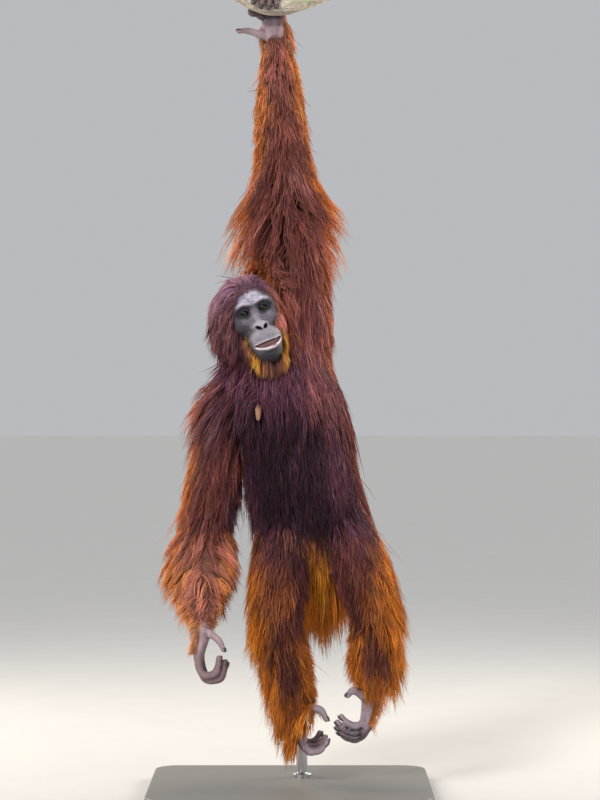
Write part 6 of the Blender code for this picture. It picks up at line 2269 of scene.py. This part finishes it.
class Scatter:
    """A Geometry Nodes tree that sets one small shape on points and turns it to their vectors."""

    def __init__(self, name: str, finish: Finish) -> None:
        """Takes the piece's name and its finish.

        Args:
            name: the piece's name.
            finish: what it is made of.
        """
        self.name, self.finish = name, finish
        self.tree = bpy.data.node_groups.new(name, "GeometryNodeTree")
        self.graph = Tree(self.tree)
        self.tree.interface.new_socket("Geometry", in_out="INPUT", socket_type="NodeSocketGeometry")
        self.tree.interface.new_socket("Geometry", in_out="OUTPUT", socket_type="NodeSocketGeometry")
        self.sizes: dict[str, float] = {}
        self.entry = self.tree.nodes.new("NodeGroupInput")
        self.exit = self.tree.nodes.new("NodeGroupOutput")

    def size(self, name: str, value: float) -> bpy.types.NodeSocket:
        """Adds a named input with its value."""
        self.tree.interface.new_socket(name, in_out="INPUT", socket_type="NodeSocketFloat")
        self.sizes[name] = value
        return self.entry.outputs[name]

    def stored(self, name: str, kind: str = "FLOAT_VECTOR") -> bpy.types.NodeSocket:
        """What the points store under a name."""
        return self.graph.node("GeometryNodeInputNamedAttribute", {"data_type": kind},
                               {"Name": name}).outputs["Attribute"]

    def plate(self, length: Any, width: Any, across: int = 4, along: int = 5, bow: float = 0.32,
              droop: float = 0.22) -> bpy.types.NodeSocket:
        """A small bowed plate with a thickness: x across, y along, z out.

        Args:
            length: its size along y.
            width: its size along x.
            across: corners along x.
            along: corners along y.
            bow: how far it falls off to its sides.
            droop: how far it falls off to its ends.

        Returns:
            The shape's socket.
        """
        grid = self.graph.node("GeometryNodeMeshGrid", values={
            "Size X": width, "Size Y": length, "Vertices X": across, "Vertices Y": along})
        place = self.graph.node("GeometryNodeInputPosition")
        parts = self.graph.node("ShaderNodeSeparateXYZ", values={0: place.outputs[0]})
        x, y = (self.graph.wire(parts, k) for k in (0, 1))
        x2, y2 = x * x * (bow / 0.0040), y * y * (droop / 0.0045)
        rise = self.graph.node("ShaderNodeCombineXYZ", values={2: (0.0 - x2) - y2})
        bowed = self.graph.node("GeometryNodeSetPosition", values={
            "Geometry": grid.outputs["Mesh"], "Offset": rise.outputs[0]})
        thick = self.graph.node("GeometryNodeExtrudeMesh", values={
            "Mesh": bowed.outputs[0], "Offset Scale": self.size("Thickness", 0.0010), "Individual": False})
        base = self.graph.node("GeometryNodeFlipFaces", values={"Mesh": bowed.outputs[0]})
        both = self.graph.node("GeometryNodeJoinGeometry", values={0: thick.outputs["Mesh"]})
        self.tree.links.new(base.outputs[0], both.inputs[0])
        return self.graph.node("GeometryNodeMergeByDistance", values={
            "Geometry": both.outputs[0], "Distance": 1e-6}).outputs[0]

    def make(self, shape: bpy.types.NodeSocket, points: Array, along: Array, out: Array,
             scales: Array) -> bpy.types.Object:
        """The shape on every point as one plain mesh.

        Args:
            shape: the tree's small shape.
            points: where it is set.
            along: the way that its y faces.
            out: the way that its z faces.
            scales: its size on each.

        Returns:
            The piece.
        """
        graph = self.graph
        turned = graph.node("FunctionNodeAlignRotationToVector", {"axis": "Z"}, {
            "Vector": self.stored("out")})
        turned = graph.node("FunctionNodeAlignRotationToVector", {"axis": "Y", "pivot_axis": "Z"}, {
            "Rotation": turned.outputs[0], "Vector": self.stored("along")})
        set_on = graph.node("GeometryNodeInstanceOnPoints", values={
            "Points": self.entry.outputs["Geometry"], "Instance": shape, "Rotation": turned.outputs[0],
            "Scale": self.stored("scale", "FLOAT")})
        real = graph.node("GeometryNodeRealizeInstances", values={0: set_on.outputs[0]})
        smooth = graph.node("GeometryNodeSetShadeSmooth", values={"Geometry": real.outputs[0]})
        done = graph.node("GeometryNodeSetMaterial", values={"Geometry": smooth.outputs[0],
                                                             "Material": self.finish.material()})
        self.tree.links.new(done.outputs[0], self.exit.inputs[0])
        mesh = bpy.data.meshes.new(self.name)
        mesh.from_pydata([tuple(p) for p in points], [], [])
        for name, rows in (("along", along), ("out", out)):
            mesh.attributes.new(name, "FLOAT_VECTOR", "POINT").data.foreach_set(
                "vector", np.ascontiguousarray(rows, np.float32).ravel())
        mesh.attributes.new("scale", "FLOAT", "POINT").data.foreach_set("value", scales.astype(np.float32))
        made = link(self.name, mesh)
        grown = made.modifiers.new("Scatter", "NODES")
        grown.node_group = self.tree
        for item in self.tree.interface.items_tree:
            if item.in_out == "INPUT" and item.name in self.sizes:
                grown[item.identifier] = self.sizes[item.name]
        settle(made)
        return made


@dataclass
class Nails:
    """A nail on the back of each fingertip and toe tip."""

    length: float = 0.0125
    width: float = 0.0105

    def build(self) -> bpy.types.Object:
        """All nails as one piece.

        Returns:
            The piece.
        """
        points, along, out, scales = [], [], [], []
        for limb in extremities():
            ways = limb.ways()
            tips, roots = (np.mean([way.middle[ring] for way in ways[:4]], 0) for ring in (-1, 4))
            palm = unit(tips - roots)
            for way in ways:
                forward = way.along[-1]
                bend = way.along[-1] - way.along[-6]
                back = -unit(bend) if np.linalg.norm(bend) > 0.08 else -palm
                back = unit(back - forward * (back @ forward))
                points.append(way.middle[-1] - forward * 0.0005 + back * way.size[-1, 0] * 1.02)
                along.append(forward)
                out.append(back)
                scales.append(way.size[-1, 0] / 0.0060)
        tree = Scatter("nails", NAIL)
        shape = tree.plate(tree.size("Length", self.length), tree.size("Width", self.width))
        return tree.make(shape, np.array(points), np.array(along), np.array(out), np.array(scales))


@dataclass
class Teeth:
    """The lower front teeth that the open mouth shows, and the edge of the upper ones."""

    width: float = 0.0062
    height: float = 0.0085

    COUNT, FAN = 8, 58   # teeth in a row, and how many degrees it reaches to each side
    ROWS = ((-0.0782, -1.0, 0.025, -0.015), (-0.1010, 1.0, 0.022, -0.016))  # z, way, arc, back

    def build(self) -> bpy.types.Object:
        """All teeth as one piece.

        Returns:
            The piece.
        """
        points, along, out, scales = [], [], [], []
        for z, rise, arc, back in self.ROWS:
            for k in range(self.COUNT):
                turn = math.radians(-self.FAN + 2 * self.FAN * (k + 0.5) / self.COUNT)
                place = np.array((0.002 + arc * math.sin(turn) * 1.08, back - arc * math.cos(turn) * 0.92, z))
                points.append(place)
                along.append((0.0, 0.0, rise))
                out.append((math.sin(turn), -math.cos(turn), 0.0))
                scales.append(1.25 if k in (0, self.COUNT - 1) else 1.0)
        frame = HEAD.frame()
        points = HEAD.world(np.array(points))
        along, out = (np.array(rows) @ frame[:3, :3].T for rows in (along, out))
        tree = Scatter("teeth", TOOTH)
        cube = tree.graph.node("GeometryNodeMeshCube", values={
            "Size": (self.width, self.height, 0.0042), "Vertices X": 3, "Vertices Y": 3, "Vertices Z": 2})
        round_off = tree.graph.node("GeometryNodeSubdivisionSurface", values={
            "Mesh": cube.outputs[0], "Level": 1})
        return tree.make(round_off.outputs[0], points, along, out, np.array(scales))


# ---------------------------------------------------------------- eyes and tongue

@dataclass
class Eye:
    """An eyeball with a bulged cornea, its iris and pupil painted in rings round its front."""

    side: int
    iris: float = 0.0070
    pupil: float = 0.0038

    def build(self) -> bpy.types.Object:
        """The eyeball.

        Returns:
            The piece.
        """
        turns = 48
        polar = np.concatenate([np.linspace(0.02, 0.75, 26), np.linspace(0.80, math.pi - 0.06, 18)])
        radius = (EYE_RADIUS - 0.0001) * (1 + 0.045 * (1 - step(polar, 0.30, 0.66)))
        turn = np.arange(turns) * 2 * np.pi / turns
        rows = np.stack([np.sin(polar)[:, None] * np.cos(turn), -np.cos(polar)[:, None] * np.ones(turns),
                         np.sin(polar)[:, None] * np.sin(turn)], -1) * radius[:, None, None]
        corners = np.concatenate([[(0, -radius[0], 0)], rows.reshape(-1, 3), [(0, radius[-1], 0)]])
        gaze = Matrix.Rotation(self.side * 0.03, 3, "Z") @ Matrix.Rotation(0.05, 3, "X")
        middle = HEAD.eye_middle(self.side)
        placed = HEAD.world(corners @ np.array(gaze).T + middle)
        mesh = bpy.data.meshes.new(f"eye_{'left' if self.side > 0 else 'right'}_ball")
        rings, last = len(polar), len(corners) - 1
        faces = [(0, 1 + j, 1 + (j + 1) % turns) for j in range(turns)]
        for k in range(rings - 1):
            for j in range(turns):
                a, b = 1 + k * turns + j, 1 + k * turns + (j + 1) % turns
                faces.append((a, a + turns, b + turns, b))
        low = 1 + (rings - 1) * turns
        faces += [(low + j, last, low + (j + 1) % turns) for j in range(turns)]
        mesh.from_pydata(placed.tolist(), [], faces)
        shape = bmesh.new()
        shape.from_mesh(mesh)
        write_outward(shape, mesh)
        mesh.shade_smooth()
        made = link(mesh.name, mesh)
        off = np.hypot(corners[:, 0], corners[:, 2])
        front = corners[:, 1] < 0
        angle = np.arctan2(corners[:, 2], corners[:, 0])
        streak = 0.5 + 0.25 * np.sin(angle * 23) + 0.25 * np.sin(angle * 41 + 1.3)
        white, brown, dark = colour(30, 22, 21), colour(34, 20, 13), colour(12, 8, 6)
        tone = np.tile(white, (len(corners), 1))
        inner = dark + (brown - dark) * (0.45 + 0.55 * streak)[:, None]
        share = ((1 - step(off, self.iris - 0.0006, self.iris)) * front)[:, None]
        tone = tone + (inner - tone) * share
        ring = (np.exp(-((off - self.iris) / 0.0006) ** 2) * front)[:, None]
        tone = tone * (1 - 0.75 * ring)
        hole = ((1 - step(off, self.pupil - 0.0003, self.pupil + 0.0003)) * front)[:, None]
        paint(made, "tone", tone * (1 - 0.97 * hole))
        return made


@dataclass
class Tongue:
    """The tongue, low in the open mouth, with a groove along its middle."""

    def build(self) -> bpy.types.Object:
        """The tongue.

        Returns:
            The piece.
        """
        middle, size, turn = TONGUE
        target = Field(*(even(m - s - 0.004, m + s + 0.004, 0.0014) for m, s in zip(middle, size)))
        target.join(Turned(middle, size, math.radians(-turn)))
        target.cut(String([(middle[0], middle[1] - size[1], middle[2] + size[2]),
                           (middle[0], middle[1] + size[1], middle[2] + size[2])], 0.0008), 0.003)
        made = target.surface("tongue_flesh")
        made.data.transform(Matrix(HEAD.frame().tolist()))
        return made


# ---------------------------------------------------------------- perch, stand and stage

@dataclass
class Perch:
    """The short cut branch: rough bark, swellings where twigs were, and sawn ends."""

    rings: int = 150
    sides: int = 44

    KNOTS = (((-0.168, -0.055, 2.018), 0.006, 0.014), ((0.095, -0.010, 2.018), 0.005, 0.012))

    def build(self) -> bpy.types.Object:
        """The branch.

        Returns:
            The piece.
        """
        way = Way(PERCH, samples=(self.rings - 1) // (len(PERCH) - 1))
        turn = np.arange(self.sides) * 2 * np.pi / self.sides
        spots = (way.middle[:, None] + way.across[:, None] * (np.cos(turn)[:, None] * way.size[:, None, :1])
                 + way.front[:, None] * (np.sin(turn)[:, None] * way.size[:, None, 1:]))
        out = unit(spots - way.middle[:, None])
        flat = spots * (0.45, 1, 1)
        lumps = 0.0016 * lattice_noise(flat, 0.030, 11) + 0.0010 * lattice_noise(flat, 0.011, 12)
        lumps += 0.0005 * lattice_noise(flat * (0.4, 1, 1), 0.004, 13)
        for place, height, reach in self.KNOTS:
            lumps += height * np.exp(-((spots - place) ** 2).sum(-1) / reach ** 2)
        spots = spots + out * (lumps - 0.0008)[..., None]
        count, sides = len(way.u), self.sides
        corners = np.concatenate([spots.reshape(-1, 3), way.middle[:1], way.middle[-1:]])
        faces = [(k * sides + j, k * sides + (j + 1) % sides, (k + 1) * sides + (j + 1) % sides,
                  (k + 1) * sides + j) for k in range(count - 1) for j in range(sides)]
        made = new_mesh("perch_branch", corners, np.array(faces))
        shape = bmesh.new()
        shape.from_mesh(made.data)
        shape.verts.ensure_lookup_table()
        for first, middle in ((0, count * sides), ((count - 1) * sides, count * sides + 1)):
            for j in range(sides):
                shape.faces.new([shape.verts[i] for i in (first + j, first + (j + 1) % sides, middle)])
        for edge in shape.edges:
            if {len(face.verts) for face in edge.link_faces} == {3, 4}:
                edge.smooth = False
        write_outward(shape, made.data)
        sawn = np.zeros(len(corners))
        sawn[-2:] = 1.0
        note(made, "sawn", sawn)
        return made


@dataclass
class Stand:
    """A plain slab with a rounded edge, and the rod with its collar."""

    edge: float = 0.004
    collar: tuple[float, float] = (0.026, 0.010)

    def outline(self, inset: float) -> list[tuple[float, float]]:
        """The slab's outline, moved in.

        Args:
            inset: how far in.

        Returns:
            Places, as x and y.
        """
        width, depth, _ = BASE_SIZE
        spots = []
        for corner_x, corner_y, first in ((1, 1, 0), (-1, 1, 90), (-1, -1, 180), (1, -1, 270)):
            for k in range(13):
                angle = math.radians(first + 7.5 * k)
                spots.append((corner_x * (width / 2 - BASE_CORNER) + (BASE_CORNER - inset) * math.cos(angle),
                              corner_y * (depth / 2 - BASE_CORNER) + (BASE_CORNER - inset) * math.sin(angle)))
        return spots

    def stack(self, name: str, rows: list[list[tuple[float, float, float]]]) -> bpy.types.Object:
        """A closed form through rings of one count, capped at both ends.

        Args:
            name: the piece's name.
            rows: its rings, from one end to the other.

        Returns:
            The piece.
        """
        count = len(rows[0])
        mesh = bpy.data.meshes.new(name)
        faces: list[tuple[int, ...]] = [tuple(range(count))[::-1],
                                        tuple(range((len(rows) - 1) * count, len(rows) * count))]
        for k in range(len(rows) - 1):
            for j in range(count):
                a, b = k * count + j, k * count + (j + 1) % count
                faces.append((a, b, b + count, a + count))
        mesh.from_pydata([p for row in rows for p in row], [], faces)
        mesh.shade_smooth()
        mesh.set_sharp_from_angle(angle=math.radians(40))
        return link(name, mesh)

    def slab(self) -> bpy.types.Object:
        """The base.

        Returns:
            The piece.
        """
        thick, rows = BASE_SIZE[2], [(0.001, 0.0), (0.0, 0.001)]
        rows += [(self.edge * (1 - math.cos(a)), thick - self.edge * (1 - math.sin(a)))
                 for a in np.linspace(0, math.pi / 2, 6)]
        return self.stack("stand_slab", [[(x, y, z) for x, y in self.outline(inset)] for inset, z in rows])

    def rod(self) -> bpy.types.Object:
        """The rod, with a collar where it enters the base.

        Returns:
            The piece.
        """
        wide, tall = self.collar
        floor = BASE_SIZE[2] + 0.0003
        rows = [(wide, floor), (wide, floor + tall - 0.002), (wide - 0.002, floor + tall),
                (ROD_RADIUS + 0.002, floor + tall), (ROD_RADIUS, floor + tall + 0.002), (ROD_RADIUS, ROD_TOP)]
        turns = np.arange(64) * 2 * np.pi / 64
        return self.stack("stand_post", [[(ROD_PLACE[0] + r * math.cos(a), ROD_PLACE[1] + r * math.sin(a), z)
                                          for a in turns] for r, z in rows])


@dataclass
class Stage:
    """The pale floor, the soft lights and the camera."""

    eye: tuple[float, float, float] = (0.025, -6.0, 0.985)
    lens: float = 108.0
    reach: float = 60.0              # of the floor, to each side
    sun: float = 2.1
    sky: float = 0.60

    SUN_WAY = (1.9, 3.4, -2.3)
    LAMPS = (                        # name, place, aim, size, power, colour
        ("fill", (3.0, -3.0, 1.5), (0, 0, 0.9), 1.8, 26, (0.94, 0.95, 1.0)),
        ("rim_left", (2.6, 1.4, 2.0), (0, 0, 1.0), 1.4, 76, (1.0, 0.88, 0.72)),
        ("rim_right", (-2.6, 1.2, 1.8), (0, 0, 0.9), 1.4, 76, (1.0, 0.88, 0.72)),
        ("top", (0.2, 0.4, 4.4), (0, 0, 1.2), 1.8, 34, (1.0, 0.96, 0.90)))

    def build(self) -> None:
        """Everything that isn't part of the animal or its stand."""
        corners = [(x * self.reach, y * self.reach, -0.001) for x, y in ((-1, -1), (1, -1), (1, 1), (-1, 1))]
        ground = new_mesh("floor", np.array(corners), np.array([(0, 1, 2, 3)]))
        ground.data.materials.append(FLOOR.material())
        for name, place, aim, size, power, tone in self.LAMPS:
            lamp = bpy.data.lights.new(name, "AREA")
            lamp.size, lamp.energy, lamp.color = size, power, tone
            made = link(name, lamp)
            made.location = place
            made.rotation_euler = (Vector(aim) - Vector(place)).to_track_quat("-Z", "Y").to_euler()
        key = bpy.data.lights.new("key", "SUN")
        key.energy, key.color, key.angle = self.sun, (1.0, 0.97, 0.93), math.radians(14)
        link("key", key).rotation_euler = Vector(self.SUN_WAY).to_track_quat("-Z", "Y").to_euler()
        world = bpy.context.scene.world or bpy.data.worlds.new("World")
        bpy.context.scene.world = world
        world.use_nodes = True
        sky = world.node_tree.nodes["Background"]
        sky.inputs[0].default_value = (*colour(232, 234, 238), 1.0)
        sky.inputs[1].default_value = self.sky
        lens = bpy.data.cameras.new("camera")
        lens.lens, lens.sensor_width = self.lens, 36.0
        camera = link("camera", lens)
        camera.location, camera.rotation_euler = self.eye, (math.radians(90), 0, 0)
        bpy.context.scene.camera = camera
        bpy.context.scene.view_settings.view_transform = "Standard"


# ---------------------------------------------------------------- the whole

class Orangutan:
    """The animal: skin, coat, eyes, tongue, teeth and nails."""

    CREASE = 0.00022     # how far a corner lies below its neighbours' middle in a full crease

    def __init__(self) -> None:
        """Takes the colours."""
        self.markings = Markings()

    def hollows(self, skin: bpy.types.Object) -> Array:
        """How deep each corner lies in a crease, by how far its neighbours' middle lies above it.

        Args:
            skin: the finished skin.

        Returns:
            One depth for each corner, from -1 on a ridge to 1.
        """
        corners, normals = corners_of(skin), normals_of(skin)
        ends = np.empty(len(skin.data.edges) * 2, np.int32)
        skin.data.edges.foreach_get("vertices", ends)
        a, b = ends.reshape(-1, 2).T
        total, hits = np.zeros_like(corners), np.zeros(len(corners))
        for first, second in ((a, b), (b, a)):
            hits += np.bincount(first, minlength=len(corners))
            for k in range(3):
                total[:, k] += np.bincount(first, corners[second, k], len(corners))
        lap = total / np.maximum(hits, 1)[:, None] - corners
        depth = dot(lap, normals) / self.CREASE
        for _ in range(2):
            spread = np.bincount(a, depth[b], len(corners)) + np.bincount(b, depth[a], len(corners))
            depth = 0.5 * depth + 0.5 * spread / np.maximum(hits, 1)
        return np.clip(depth, -1, 1)

    def skin(self) -> bpy.types.Object:
        """One skin over the whole body, painted.

        Returns:
            The piece.
        """
        body = BodyForm()
        skin = body.build()
        fuse(skin, [HEAD.build(), body.nipple(), *(limb.build() for limb in extremities())])
        skin.name = skin.data.name = "skin"
        skin.data.shade_smooth()
        site = Site(corners_of(skin), normals_of(skin))
        paint(skin, "tone", self.markings.skin(site, site.bare(), self.hollows(skin)))
        return skin

    def build(self) -> None:
        """Every piece of the animal."""
        skin = self.skin()
        dress(skin, BARE, FLESH)
        coat = Coat(skin, self.markings)
        for growth in GROWTHS:
            dress(coat.grow(growth), FUR)
        for side, name in ((1, "eye_left"), (-1, "eye_right")):
            dress(Eye(side).build(), EYE, (name,))
        dress(Tongue().build(), TONGUE_SKIN, ("tongue",))
        dress(Teeth().build(), TOOTH)
        dress(Nails().build(), NAIL)


def main() -> None:
    """Builds the animal, its perch and its stand, then the stage."""
    logging.basicConfig(level=logging.INFO, format="%(message)s")
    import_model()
    Orangutan().build()
    dress(Perch().build(), BARK, ("perch",))
    stand = Stand()
    dress(stand.slab(), BASE, ("stand_base",))
    dress(stand.rod(), STEEL, ("stand_rod",))
    Stage().build()
    bpy.context.view_layer.update()


if __name__ == "__main__":
    main()
